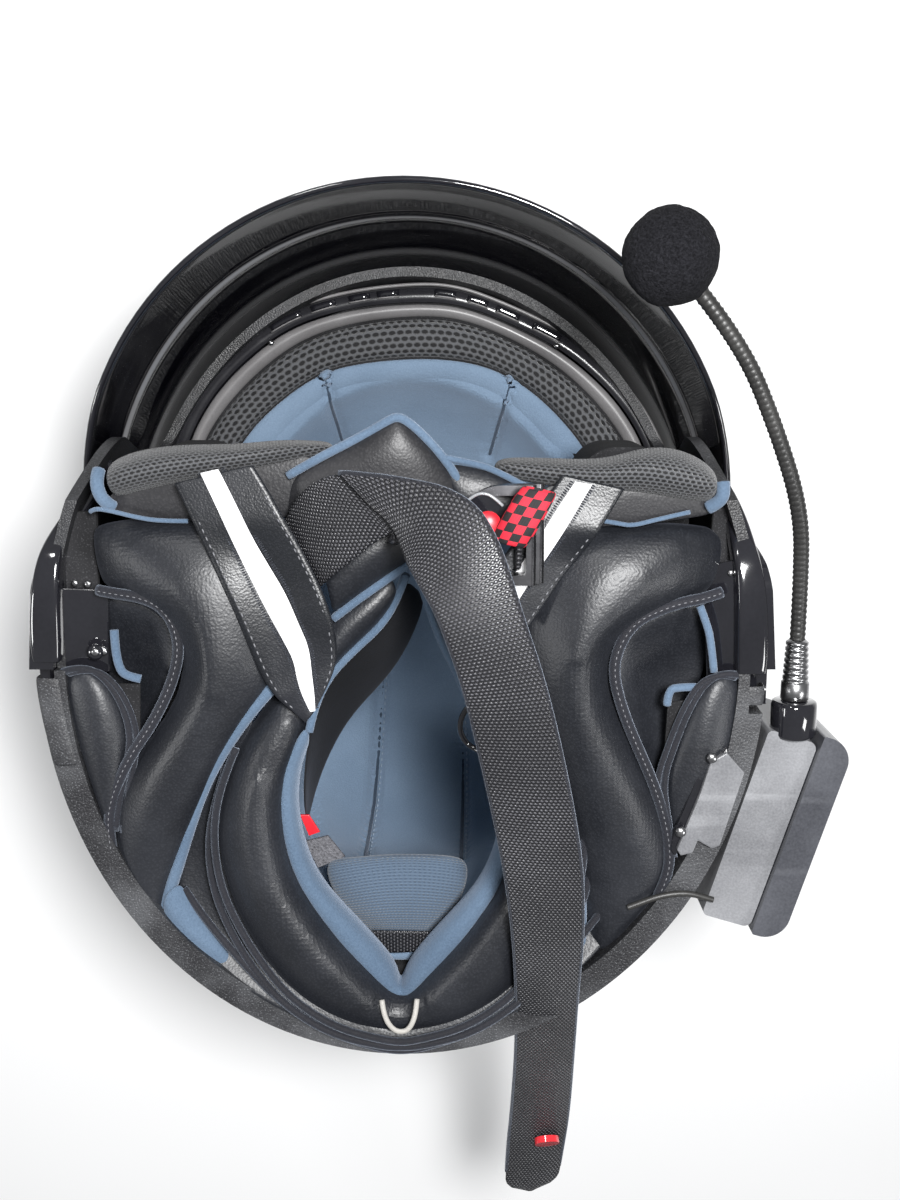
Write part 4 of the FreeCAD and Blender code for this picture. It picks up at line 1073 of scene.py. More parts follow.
@dataclass
class Studio:
    """Camera, floor and lamps."""

    eye: Point = (17.0, 115.0, 690.0)
    tilt: float = 11.0
    focus: float = 1300.0
    image_height: float = 1200.0
    floor_size: float = 6.0

    def build(self) -> None:
        """Set the view, the floor and the light."""
        scene = bpy.context.scene
        scene.view_settings.view_transform = "Standard"
        data = bpy.data.cameras.new("camera")
        data.sensor_width = 36.0
        data.lens = self.focus / self.image_height * data.sensor_width
        data.clip_start = 0.01
        camera = bpy.data.objects.new("camera", data)
        camera.location = Vector(self.eye) * MM
        camera.rotation_euler = (math.radians(-self.tilt), 0.0, 0.0)
        scene.collection.objects.link(camera)
        scene.camera = camera
        self._floor()
        self._lamp("key", (0.115, 0.19, 0.84), 0.13, 8.2)
        self._lamp("fill", (0.9, -0.4, 1.0), 0.30, 3.6)
        self._lamp("left", (-1.0, -0.1, 0.8), 0.25, 3.0)
        self._lamp("front", (-0.35, 0.85, 1.0), 0.16, 2.2)
        world = bpy.data.worlds.new("world")
        scene.world = world
        world.use_nodes = True
        world.node_tree.nodes["Background"].inputs[0].default_value = (0.95, 0.97, 1.0, 1.0)
        world.node_tree.nodes["Background"].inputs[1].default_value = 0.24

    def _floor(self) -> None:
        """A pale floor that looks white to the camera but keeps a shadow."""
        mesh = bmesh.new()
        bmesh.ops.create_grid(mesh, x_segments=2, y_segments=2, size=self.floor_size / 2)
        kit = Shader("floor")
        slow = kit.noise(3.0)
        kit.give(Base_Color=kit.mix(slow, (0.84, 0.84, 0.84), (0.88, 0.88, 0.88)), Roughness=0.9,
                 Specular_IOR_Level=0.1)
        floor = finished("floor", mesh, kit.material)

    def _lamp(self, name: str, place: Point, size: float, power: float) -> None:
        """A square lamp that faces the helmet."""
        data = bpy.data.lights.new(name, "AREA")
        data.shape = "SQUARE"
        data.size = size
        data.energy = power
        lamp = bpy.data.objects.new(name, data)
        lamp.location = place
        lamp.rotation_euler = (Vector((0.0, 0.0, 0.15)) - Vector(place)).to_track_quat("-Z", "Y").to_euler()
        bpy.context.scene.collection.objects.link(lamp)


# Padding


class Ground:
    """Finds the top of padded pieces under a point, for what is sewn or laid on them."""

    def __init__(self, pieces: Sequence[bpy.types.Object]) -> None:
        """Gather the pieces.

        Args:
            pieces: The finished pieces.
        """
        mesh = bmesh.new()
        for piece in pieces:
            mesh.from_mesh(piece.data)
        self.tree = BVHTree.FromBMesh(mesh)
        mesh.free()

    def top(self, point: Vector, lift: float = 0.0, reach: float = 14.0) -> Vector:
        """The top above or under a point.

        Args:
            point: Where to look, in metres.
            lift: How far over the surface to stay, in millimetres.
            reach: The farthest that the point is moved, in millimetres.

        Returns:
            The point on the surface, or the point itself where nothing is near.
        """
        hit = self.tree.ray_cast(Vector((point.x, point.y, 0.32)), Vector((0.0, 0.0, -1.0)))[0]
        if hit is None or abs(hit.z - point.z) > reach * MM:
            return point.copy()
        return Vector((point.x, point.y, hit.z + lift * MM))

    def draped(self, ribs: Sequence[Sequence[Vector]], lift: float) -> list[list[Vector]]:
        """Ribs of a strap laid over the surface, with their heights evened out so that it spans hollows.

        Args:
            ribs: Rows of points across the strap, in metres.
            lift: How far over the surface to stay, in millimetres.

        Returns:
            The rows at their new heights.
        """
        heights = [[self.top(point, lift).z for point in rib] for rib in ribs]
        taut_passes, even_passes, end = 60, 4, len(ribs) - 1
        for _ in range(taut_passes):
            heights = [[max((heights[max(row - 1, 0)][column] + heights[min(row + 1, end)][column]) / 2, own)
                        for column, own in enumerate(line)] for row, line in enumerate(heights)]
        for _ in range(even_passes):
            heights = [[(heights[max(row - 1, 0)][column] + own + heights[min(row + 1, end)][column]) / 3
                        for column, own in enumerate(line)] for row, line in enumerate(heights)]
            heights = [[(line[max(column - 1, 0)] + own + line[min(column + 1, len(line) - 1)]) / 3
                        for column, own in enumerate(line)] for line in heights]
        return [[Vector((point.x, point.y, height)) for point, height in zip(rib, line)]
                for rib, line in zip(ribs, heights)]

    def seen(self, points: Iterable[Point], out: float = 0.0) -> list[Vector]:
        """Where the lines of sight through points meet the surface, a little in front of it."""
        eye = Vector(Studio.eye) * MM
        found = []
        for point in metres(points):
            hit, normal, _, _ = self.tree.ray_cast(eye, (point - eye).normalized())
            if hit is not None:
                found.append(hit + (normal if normal.dot(eye - hit) > 0 else -normal) * out * MM)
        return found

    def laid(self, points: Iterable[Point], lift: float = 0.0, reach: float = 14.0) -> list[Vector]:
        """Points in millimetres, laid on the surface, in metres."""
        return [self.top(point, lift, reach) for point in metres(points)]


@dataclass
class Cushion:
    """One stuffed leatherette form from rows of points across it."""

    name: str
    rows: list[list[Point]]
    floor_z: float
    inset: float = 1.0
    swell: float = 1.6
    limit: float = 4.0
    voxel: float = 4.0

    def build(self, material: bpy.types.Material) -> bpy.types.Object:
        """Close each row round the underside, then blow the form up.

        Args:
            material: Its cover.

        Returns:
            The cushion.
        """
        ribs = []
        for row in self.rows:
            first, last = Vector(row[0]), Vector(row[-1])
            inward = (last - first)
            inward.z = 0
            inward = inward.normalized() * self.inset
            out = inward.normalized() * self.swell
            drop = Vector((0.0, 0.0, 5.0))
            held = [first - out] + [Vector(point) for point in row[1:-1]] + [last + out]
            low = [last + out - drop, Vector((*(last - inward).xy, self.floor_z)),
                   Vector((*(first + inward).xy, self.floor_z)), first - out - drop]
            ribs.append([point * MM for point in held + low])
        body = Loft(self.name, ribs, closed=True, capped=True).done(material)
        smoothed(body, 2)
        return puffed(body, self.voxel, 4.0, self.limit)


@dataclass
class CheekPads:
    """Both cheek pads with their mesh ends, ear cut-outs, pocket flaps, piping and soft blue edges."""

    palette: Palette
    right_rows: list[list[Point]] = field(default_factory=lambda: table("""
        -109.3,59.9,232 -98.8,60,236 -86.1,58.5,238 -73.7,57.9,239 -61.5,57.6,239 -49,58.2,236
        -109.8,54.4,234 -98.2,56.2,242 -84.7,54.9,245 -70.8,53.3,246 -56.2,51.4,245 -40.8,50.5,239
        -109.9,44.3,233 -98.4,45.8,243 -82.8,43.1,248 -66.3,39.8,249 -50.5,35.9,247 -35.9,32.7,239
        -109.4,31.4,232 -97.1,35.1,242 -81.6,32.6,248 -64.1,26,250 -48.5,20,247 -34.7,12.6,238
        -93.3,26.8,236 -84.4,28.3,244 -73.3,23.8,248 -61,15.3,250 -47.9,9,246 -35.6,2.4,238
        -81.1,12.2,236 -75,11.3,245 -68.4,9.8,249 -58.9,5.3,250 -49.2,0,246 -43.1,-6,237
        -83.2,-6.3,236 -77,-4.6,245 -69.8,-6,248 -62.2,-8.9,248 -55.5,-13,244 -53.4,-17.8,235
        -92.7,-23.2,236 -84.5,-21.6,245 -76.4,-22.8,248 -69.7,-26.1,247 -65.7,-30,242 -65.2,-35.5,233
        -101.8,-38,237 -91.9,-37.2,245 -83.7,-39.5,247 -77.1,-43.6,245 -73.6,-48.4,240 -73.4,-54.1,232
        -107.3,-53.4,237 -97.2,-53.4,244 -88.6,-56.5,246 -83.3,-61.5,243 -80.1,-66.6,238 -81,-71.8,231
        -106.4,-68.5,238 -98.2,-69.2,243 -92.1,-72.3,243 -87.9,-76.7,240 -85.8,-81.2,235 -86.6,-85.7,230
        -100.5,-85.4,238 -95.4,-86,241 -92.1,-87.2,241 -90.3,-89.8,238 -89.8,-92.8,234 -90.4,-96.2,230
        -92.6,-98.9,238 -89.5,-98.4,240 -87.9,-98.8,239 -87.1,-100.3,236 -87,-102.5,233 -87.4,-105.1,230
        -79.1,-112.3,237 -77.1,-110.1,239 -75.8,-109.3,238 -75.3,-110,235 -75.5,-110.7,232 -76.1,-111.8,229"""))
    left_rows: list[list[Point]] = field(default_factory=lambda: table("""
        113.4,57.7,232 103.3,59.6,236 91.8,58.1,238 79.9,55.8,239 68,54.4,239 54.3,55.4,236
        113.5,51.6,234 103.1,54.1,242 90.7,53.3,246 78.3,51.2,246 65.4,49.6,245 50.3,47,239
        113.8,42.1,233 103,43.7,243 89.3,43.1,248 74.8,41.2,249 59.2,37.7,247 44.5,30.9,239
        113.3,31.1,232 102.4,34.3,242 87.9,34,248 70.8,30.2,250 55.3,23.6,247 41.9,14.4,238
        96,25.3,236 88.3,26.9,244 78.8,24.8,248 66.9,19.6,250 54.1,12.6,246 42.7,4.6,238
        80.6,15.8,236 75.3,16.1,244 68.6,14.2,248 59.5,8.7,249 50.9,1.9,245 45,-4.6,237
        76.7,1.9,236 71.4,2.4,244 65.4,0.5,248 58.4,-3.8,248 51.8,-9.3,244 48.1,-14.5,236
        79.2,-12.3,236 73.1,-11.5,244 67.1,-13.3,248 60.2,-17.3,247 54.2,-22.2,243 51.3,-27.6,234
        84.5,-25.5,237 77.6,-24.5,245 70.9,-26.5,248 64.1,-30.9,246 58.1,-35.6,242 55.3,-41.3,233
        91.5,-41.5,237 83.7,-40.2,245 76.4,-42.1,247 68.8,-46.2,245 62.2,-51.5,240 58.9,-57.2,232
        96.1,-55.7,238 88.5,-55,245 80.5,-57.2,246 72.3,-62.3,243 65.6,-68.1,238 61.9,-74.1,231
        98.8,-71.2,238 90.7,-70.7,243 82.7,-73.1,243 74.4,-77.8,240 67.6,-83.1,236 63,-88.9,230
        94.8,-85.4,238 87.7,-85.2,241 80.8,-87.2,241 74.2,-90.9,238 68.8,-95.2,234 64.8,-99.9,229
        84.1,-99.7,238 79.4,-99.2,240 75.1,-100.8,239 71.7,-103.5,236 68.5,-106.6,232 66.2,-109.7,229
        72.6,-112.3,237 70.9,-111,238 69.5,-111.5,237 68.6,-112.5,235 67.8,-114,232 67.4,-116.3,229"""))

    def build(self) -> list[bpy.types.Object]:
        """Make both sides; return the padded tops that straps lie on."""
        pads = []
        for side, rows in ((Side.RIGHT, self.right_rows), (Side.LEFT, self.left_rows)):
            name = side.name.lower()
            pad = Cushion("cheek_pad_cover_" + name, rows, PAD_FLOOR).build(self.palette["leatherette"])
            put(pad, "helmet", "leatherette", "cheek_pad_" + name)
            pads.append(pad)
        self._ends()
        self._ears()
        return pads

    def _ends(self) -> None:
        """Mesh-covered front ends, the strip behind them, and the edges round them."""
        mesh_right = table("""
            -105.1,73.3,232 -103,71.6,243 -101.7,68.4,246 -101.3,65.3,243 -102,62.2,234
            -100.1,77.4,230 -97.1,75.9,245 -95.3,72.1,249 -95.3,67.4,246 -96.5,63.2,236
            -88.7,80.5,230 -85.5,79,246 -84.1,75.3,250 -84.3,70.2,247 -85.4,66.2,238
            -73.7,81.6,231 -70.8,80.4,246 -69.5,77.3,250 -69.5,73,247 -70.5,68.7,239
            -58.4,81.4,232 -56.2,80.7,246 -55.4,78.2,249 -55.3,74.9,246 -55.7,71.6,240
            -44.2,83.2,233 -42.6,82.3,245 -41.6,80.2,248 -41.4,77.2,245 -41.4,74,240
            -31.9,82.9,234 -30.6,82.5,243 -30.1,81.3,245 -29.6,79.4,243 -29.6,77.5,240
            -24.7,82.3,236 -23.9,82,241 -23.5,81.4,242 -23.3,80.7,241 -23.1,79.8,239""")
        mesh_left = table("""
            112.9,69.8,232 110.6,68.8,243 109.8,66.7,246 109.5,64,243 110,60.8,234
            106.7,76.6,230 103.8,74.8,245 102,70.9,250 101.4,65.4,247 102.1,60.8,237
            95.2,80.9,230 92.6,79,246 90.9,74.4,251 90.6,68,248 91.2,62.8,239
            83.8,80.2,231 81.7,78.7,246 80.2,74.6,250 79.8,69.2,247 80.2,64.7,240
            71.8,76.1,232 70.3,75.2,245 69.2,72.1,249 69,68.1,246 69.1,64.7,240
            57.7,76.5,233 56.7,75.4,244 55.8,73,247 55.4,69.4,245 55.5,66.4,240
            44.3,77,234 43.8,76,243 43,73.8,245 42.5,71.2,243 42.3,68.8,240
            32.3,76.8,236 32.2,75.8,241 31.8,74.6,242 31.5,73.1,241 31.6,71.5,239""")
        for side, rows in ((Side.RIGHT, mesh_right), (Side.LEFT, mesh_left)):
            end = block("mesh_end_" + side.name.lower(), rows, PAD_FLOOR, self.palette["mesh_fabric"])
            put(end, "helmet", "mesh")
        strips = {
            Side.RIGHT: table("""
                -103.9,65.4,237 -104.5,58.2,236
                -90.5,67.8,240 -91.5,55,238
                -72.6,72.1,242 -73.7,54.5,240
                -56.8,75,243 -56.1,54.7,241
                -39.6,78.8,243 -35,56.2,242
                -27.5,81.8,243 -21.8,56.3,243"""),
            Side.LEFT: table("""
                110,63.3,237 111.2,56.8,236
                99.6,65,240 100.3,55.7,238
                82.6,68,242 83.3,53.1,240
                65.2,68.8,243 65.7,52.6,241
                44.5,70.9,243 48.3,52.7,242""")}
        for side, rows in strips.items():
            strip = panel("front_strip_" + side.name.lower(), rows, self.palette["flap_leatherette"], 2, 2.0)
            put(strip, "helmet", "leatherette")
        edges = {
            "edge_front_right": trace("""
                -109.1,58.4,237 -106.8,60.1,240 -100.4,59.2,241 -92.2,57.2,242 -83.6,55.8,242 -73.9,55.8,242"""),
            "edge_end_right": trace("""
                -105,73.2,238 -105.4,70,241 -104.6,65.1,241 -102.6,61.9,240 -100.7,60.2,238"""),
            "edge_front_left": trace("70,56,243 74.5,55.3,243 80.2,54.1,242 88.3,56.1,241 100.7,58.6,239"),
            "edge_end_left": [(111.6, 69.2, 240), (111.9, 65.8, 241), (110.8, 62.2, 240), (107.1, 59.9, 238)]}
        for name, points in edges.items():
            put(tube(name, metres(points), 2.4 if "end" in name else 0.8, self.palette["edge_knit"], 0.8),
                "helmet", "liner_fabric")
        inner_right = trace("""
            -45.1,-2.3,240 -50.3,-7.8,240 -58.6,-18.2,239 -67.2,-31.2,238 -73.8,-44.1,236 -79.3,-59.2,235
            -83.8,-72.9,234 -88.2,-85.6,233 -90.3,-94.5,232 -88.3,-101.3,232 -83.2,-108.3,231
            -75.8,-113.6,231 -68.3,-119,231""")
        inner_left = trace("""
            48,-9.8,237 52.6,-23.2,236 57.3,-38.7,235 61.3,-55.7,234 64.7,-72.5,233 65.8,-88.9,232
            66.2,-103.4,231 65.8,-117.4,230""")
        for name, points in (("pad_edge_right", inner_right), ("pad_edge_left", inner_left)):
            raised = [point + Vector((0.0, 0.0, 1.5 * MM)) for point in metres(points)]
            put(tube(name, raised, 2.5, self.palette["edge_knit"], 1.1), "helmet", "liner_fabric")
        heel = table("""
            -90.5,-86.2,238 -86.2,-81.4,240 -81.8,-79.2,236
            -89.8,-96.1,238 -84.3,-90,240 -79.2,-89.1,236
            -83.8,-103.7,238 -78,-97.2,240 -73.5,-97.1,236
            -76.6,-110.1,238 -71.7,-104.8,239 -68.7,-104.4,235
            -67.2,-115.5,237 -65.6,-112.3,237 -63.8,-110.5,234""")
        put(panel("pad_heel_right", heel, self.palette["edge_knit"], 2, 2.0), "helmet", "liner_fabric")

    def _ears(self) -> None:
        """Cut-outs for the ears: their piping, the softer panel inside and the pocket flaps on the rim."""
        bindings = {
            "ear_piping_right": trace("""
                -107.8,30.7,238 -102.1,30,240 -92,28.8,241 -85.1,25.6,241 -80.5,19.1,241 -79,10.4,241
                -80.8,1.6,241 -84.8,-8.3,241 -90.8,-19,240 -96.2,-26.5,240 -101.7,-35.9,240 -106.1,-46.1,239
                -108.1,-56.1,239 -107.1,-66.2,239"""),
            "ear_piping_left": trace("""
                113.2,30,238 107.2,28.2,240 99.4,27,241 91.7,24.5,241 82.6,20.2,241 77.2,12.2,241
                74.9,2.7,241 77.4,-8.7,241 82.5,-22,240 89.4,-37,240 94.7,-51.1,239 97.7,-65.4,239
                97.4,-76.3,239 93.6,-84.6,239""")}
        for name, points in bindings.items():
            put(tube(name, metres(points), 2.1, self.palette["binding"], 0.75), "helmet", "leatherette")
            put(stitches(name + "_stitches", metres(points), self.palette["thread"], 2.2, 1.5, 0.22, lift=1.5),
                "helmet", "leatherette")
        inner = {
            Side.RIGHT: table("""
                -110.6,26.3,230 -101.4,26,232 -90.3,24.2,234 -82.2,18.8,236
                -111.5,15.5,226 -102.8,14.4,226 -92.2,12.6,228 -81.4,9.7,235
                -111,1.4,222 -103.6,-0.4,221 -94.4,-1.9,224 -82.9,-1.4,235
                -109,-12.2,221 -103.4,-14.4,220 -95.7,-14.1,224 -86.9,-11.1,235
                -104.7,-26.2,226 -101.8,-27.4,226 -98.1,-26.5,229 -93.6,-23.9,235"""),
            Side.LEFT: table("""
                114.3,25.6,230 106.8,24.9,232 95,22,234 84.8,17.7,236
                114.1,14.4,226 106.1,13.6,226 92,11.8,228 78.7,9.7,235
                112.5,0.7,222 103.8,-0.4,221 91.5,-1.1,224 76.8,-0.6,235
                108,-14.2,221 100.8,-15.2,220 91.2,-14.1,224 79.3,-11.1,235
                101,-30.1,226 96.5,-30.5,226 90.8,-28.8,229 84.8,-26.1,235
                97.9,-46.2,230 95.7,-46.2,230 93.8,-44.7,232 91.8,-42.2,235""")}
        for side, rows in inner.items():
            name = side.name.lower()
            ear = panel("ear_panel_" + name, rows, self.palette["leatherette"], 3, 2.4)
            put(ear, "helmet", "leatherette", "ear_foam_" + name)
        flaps = {
            Side.RIGHT: table("""
                -121.9,0.9,238 -117.7,2.9,240 -113.3,4,240 -109.4,2.2,239
                -121.5,-9.2,239 -114.7,-6.2,242 -108,-4.4,243 -102,-7,239
                -119.3,-22.3,239 -111.6,-19.9,243 -104.5,-19.2,243 -98.2,-20.7,238
                -115.2,-39.3,239 -108.9,-36.8,243 -104.1,-35.2,242 -99.9,-32.8,238
                -110.9,-53.8,239 -107.6,-50.8,241 -105.6,-48.8,240 -103.4,-45.7,238
                -107.9,-63.5,238 -106.9,-61.5,239 -106,-60,239 -105.5,-58.8,238"""),
            Side.LEFT: table("""
                121.6,-0.6,238 117.5,1.4,240 113.2,1.8,240 109.3,-1.1,239
                121.8,-9.2,239 115.3,-7.7,242 108.7,-7.4,243 103.2,-11.4,239
                120.9,-22.3,239 112.8,-20.3,243 105.6,-20.7,243 98.8,-24.5,238
                118.6,-37.4,239 110.5,-36,243 103.5,-36.7,242 94.2,-39.6,238
                114.1,-52.6,239 107.9,-52.3,241 102.3,-53.4,240 96.9,-55.7,238
                109,-66.6,238 105.1,-66.9,239 102.2,-67.7,239 99.5,-68.9,238""")}
        for side, rows in flaps.items():
            name = side.name.lower()
            flap = block("pocket_flap_" + name, rows, FLAP_FLOOR, self.palette["leatherette"])
            put(flap, "helmet", "leatherette")
            line = metres([rows[0][0], rows[0][1]] + [row[-1] for row in rows])
            for number, gap in enumerate((0.0, 3.2)):
                shifted = [point + Vector((-side.value * gap * MM * 0.8, -gap * MM * 0.2, 0.6 * MM)) if number
                           else point + Vector((0.0, 0.0, 0.4 * MM)) for point in line]
                put(tube("pocket_piping_%s_%d" % (name, number), shifted, 1.35 - 0.2 * number,
                         self.palette["binding"]), "helmet", "leatherette")


@dataclass
class NeckRoll:
    """The padded collar round the back of the neck opening, with its lining, piping and notch."""

    palette: Palette
    rows: list[list[Point]] = field(default_factory=lambda: table("""
        -43.3,-2.1,232 -40,-2.4,238 -36.6,-3.8,240 -33.5,-5.5,239 -31.7,-8.6,233
        -48.8,-11.5,236 -45,-11.8,243 -41.1,-13.1,246 -37.7,-16,245 -35,-20.3,238
        -58.2,-24.3,236 -52.1,-23,245 -47.1,-23.6,248 -43,-25.4,247 -40.4,-29.5,240
        -64.6,-38.7,235 -57.7,-36.1,246 -51.9,-36.2,249 -47.6,-38.4,247 -45.1,-42.3,240
        -68.4,-53,235 -60.3,-50,246 -53.6,-49.3,250 -48.5,-51.2,248 -45,-55.3,240
        -68.9,-67.8,235 -59.8,-63.3,247 -52.7,-62.1,251 -47.3,-63.3,249 -43.5,-67.3,240
        -66.4,-82.4,235 -57.4,-77.2,247 -49.7,-75,252 -44,-75.9,249 -39.7,-79.4,240
        -60.6,-97.9,235 -51.4,-90.7,248 -43.8,-87.2,253 -37.7,-87.4,250 -32.9,-90.8,240
        -52,-114.1,235 -43.4,-105.2,248 -36.2,-100.3,253 -29.9,-99.5,250 -25,-102.3,240
        -41,-128.8,235 -33,-118.2,248 -26.3,-112.6,252 -20.7,-111,249 -15.8,-112.4,240
        -25.4,-137,238 -19.9,-127,248 -15.3,-122,250 -11.4,-120,247 -7.8,-121.4,239
        -7.2,-140.6,239 -5.7,-133.9,245 -4.6,-130.7,245 -3.6,-129.1,242 -2.6,-128.5,237"""))

    def build(self) -> list[bpy.types.Object]:
        """Roll, gusset, lining and piping; return the roll."""
        rows = self.rows + [swapped_back(row) for row in reversed(self.rows)]
        roll = Cushion("neck_roll_cover", rows, ROLL_FLOOR).build(self.palette["leatherette"])
        put(roll, "helmet", "leatherette", "neck_roll")
        self._lining()
        self._gusset()
        self._notch()
        return [roll]

    def _lining(self) -> None:
        """Blue inner band that runs to the notch."""
        rows = table("""
            -35.5,-18.5,243 -33.7,-19.9,243 -32.6,-22.8,241 -34,-27.1,232
            -41,-28,241 -38.8,-29.5,241 -37.1,-32,238 -37.6,-36.8,228
            -45.7,-40.8,240 -42.4,-41.6,241 -39.3,-44.5,237 -39.4,-49.6,227
            -45.4,-55,240 -41.2,-55.3,241 -38.2,-58.4,236 -37.9,-63,227
            -43.5,-67.3,240 -39,-67.7,241 -35.2,-70.9,236 -34.3,-75,227
            -39.4,-79.8,240 -34.1,-79.8,241 -29.5,-82.3,236 -28.1,-85.4,227
            -32.6,-91.2,240 -26.6,-90.4,241 -21.1,-92.3,236 -19.5,-95.1,227
            -24.6,-102.7,240 -18.2,-101.1,241 -12.6,-102.3,236 -10.9,-104.9,227
            -15.8,-112.8,240 -10.2,-111.2,240 -5.6,-111.2,235 -4.5,-113.6,226
            -7.4,-122.2,239 -4.7,-118.9,239 -2.7,-117.8,234 -2.6,-118.6,226
            -1.5,-129.4,237 -1.4,-124.3,238 -1.6,-122.5,233 -1.9,-121.9,226""")
        ribs = [metres(row) for row in rows] + [metres(swapped_back(row)) for row in reversed(rows[:-1])]
        band = smoothed(Loft("roll_lining", ribs).done(self.palette["edge_knit"]), 3, 2.4)
        put(band, "helmet", "liner_fabric")

    def _gusset(self) -> None:
        """The lower cover between pads and roll, with its rows of piping."""
        rows = table("""
            -52.3,-10,236 -54.1,-14.8,235 -54.8,-19,236
            -60.9,-19.6,234 -61.2,-24.9,233 -59.6,-28.4,235
            -70.5,-34,232 -67.9,-37.4,231 -63.9,-39.8,233
            -77.8,-52.1,230 -73.3,-54.4,229 -66.8,-55.2,232
            -83.2,-70.2,229 -76.5,-71,227 -67.4,-69.4,231
            -86.3,-86.5,230 -76.1,-85.8,228 -64.7,-82.9,232
            -83.9,-98.5,233 -71.4,-98.2,231 -58.2,-96.4,233
            -74.5,-109.4,237 -61.9,-110.1,234 -48.9,-108.4,235
            -61.4,-119.1,241 -49.9,-119,238 -37.5,-118.2,238
            -45,-129.4,243 -35.1,-128,241 -24.3,-126.5,240
            -24.1,-137.8,244 -17.8,-135.9,243 -11.1,-133.2,242
            -1.3,-141.4,244 -1.3,-139.4,244 -1.4,-137.5,243""")
        ribs = [metres(row) for row in rows] + [metres(swapped_back(row)) for row in reversed(rows[:-1])]
        gusset = smoothed(Loft("roll_gusset", ribs).done(self.palette["leatherette"]), 2, 1.6)
        put(gusset, "helmet", "leatherette")
        lines = table("""
            -60.2,-26.8,240 -65,-37.7,239 -68.8,-51.5,239 -69.8,-65.8,238 -67.6,-81,239 -61.6,-95.6,240 \
            -52.8,-109.8,242 -41.7,-123.2,244 -25.4,-133.4,246 -7.9,-137.7,247 -1.2,-138.5,247
            -64.5,-34.6,237 -70.4,-52.6,236 -72.7,-68.6,235 -70.8,-83.9,236 -65,-98.5,238 -56.2,-113.2,240 \
            -44.5,-126.1,243 -27.7,-136.4,245 -9.1,-140.7,246 -1.3,-141.1,246
            -82.1,-82.8,235 -76.5,-92.3,235 -68.6,-101.8,237 -58.4,-112.4,240 -47.2,-124.2,242 \
            -30.8,-135.3,244 -11.4,-141.7,245 -1.3,-143.3,245""")
        for number, line in enumerate(lines):
            whole = metres(line) + metres(swapped_back(line))[::-1][1:]
            put(tube("roll_piping_%d" % number, whole, 1.5, self.palette["binding"]), "helmet", "leatherette")

    def _notch(self) -> None:
        """Pale lips of the cover where it parts at the back."""
        lip = trace("""
            -8.2,-122.1,246 -7.7,-125,248 -6.2,-129.3,249 -3.7,-132.5,249 -1.1,-133.3,249 1.5,-132.5,249
            3.4,-129.3,249 4.5,-125,248 4.8,-121.7,246""")
        put(tube("notch_lip", metres(lip), 1.0, self.palette["cream_lip"], 0.8), "helmet", "leatherette")


def swapped_back(row: Sequence[Point]) -> list[Point]:
    """A row on the other side of the roll's own plane, which the strap has pulled a little aside."""
    return [(-3.0 - x, y, z) for x, y, z in row]


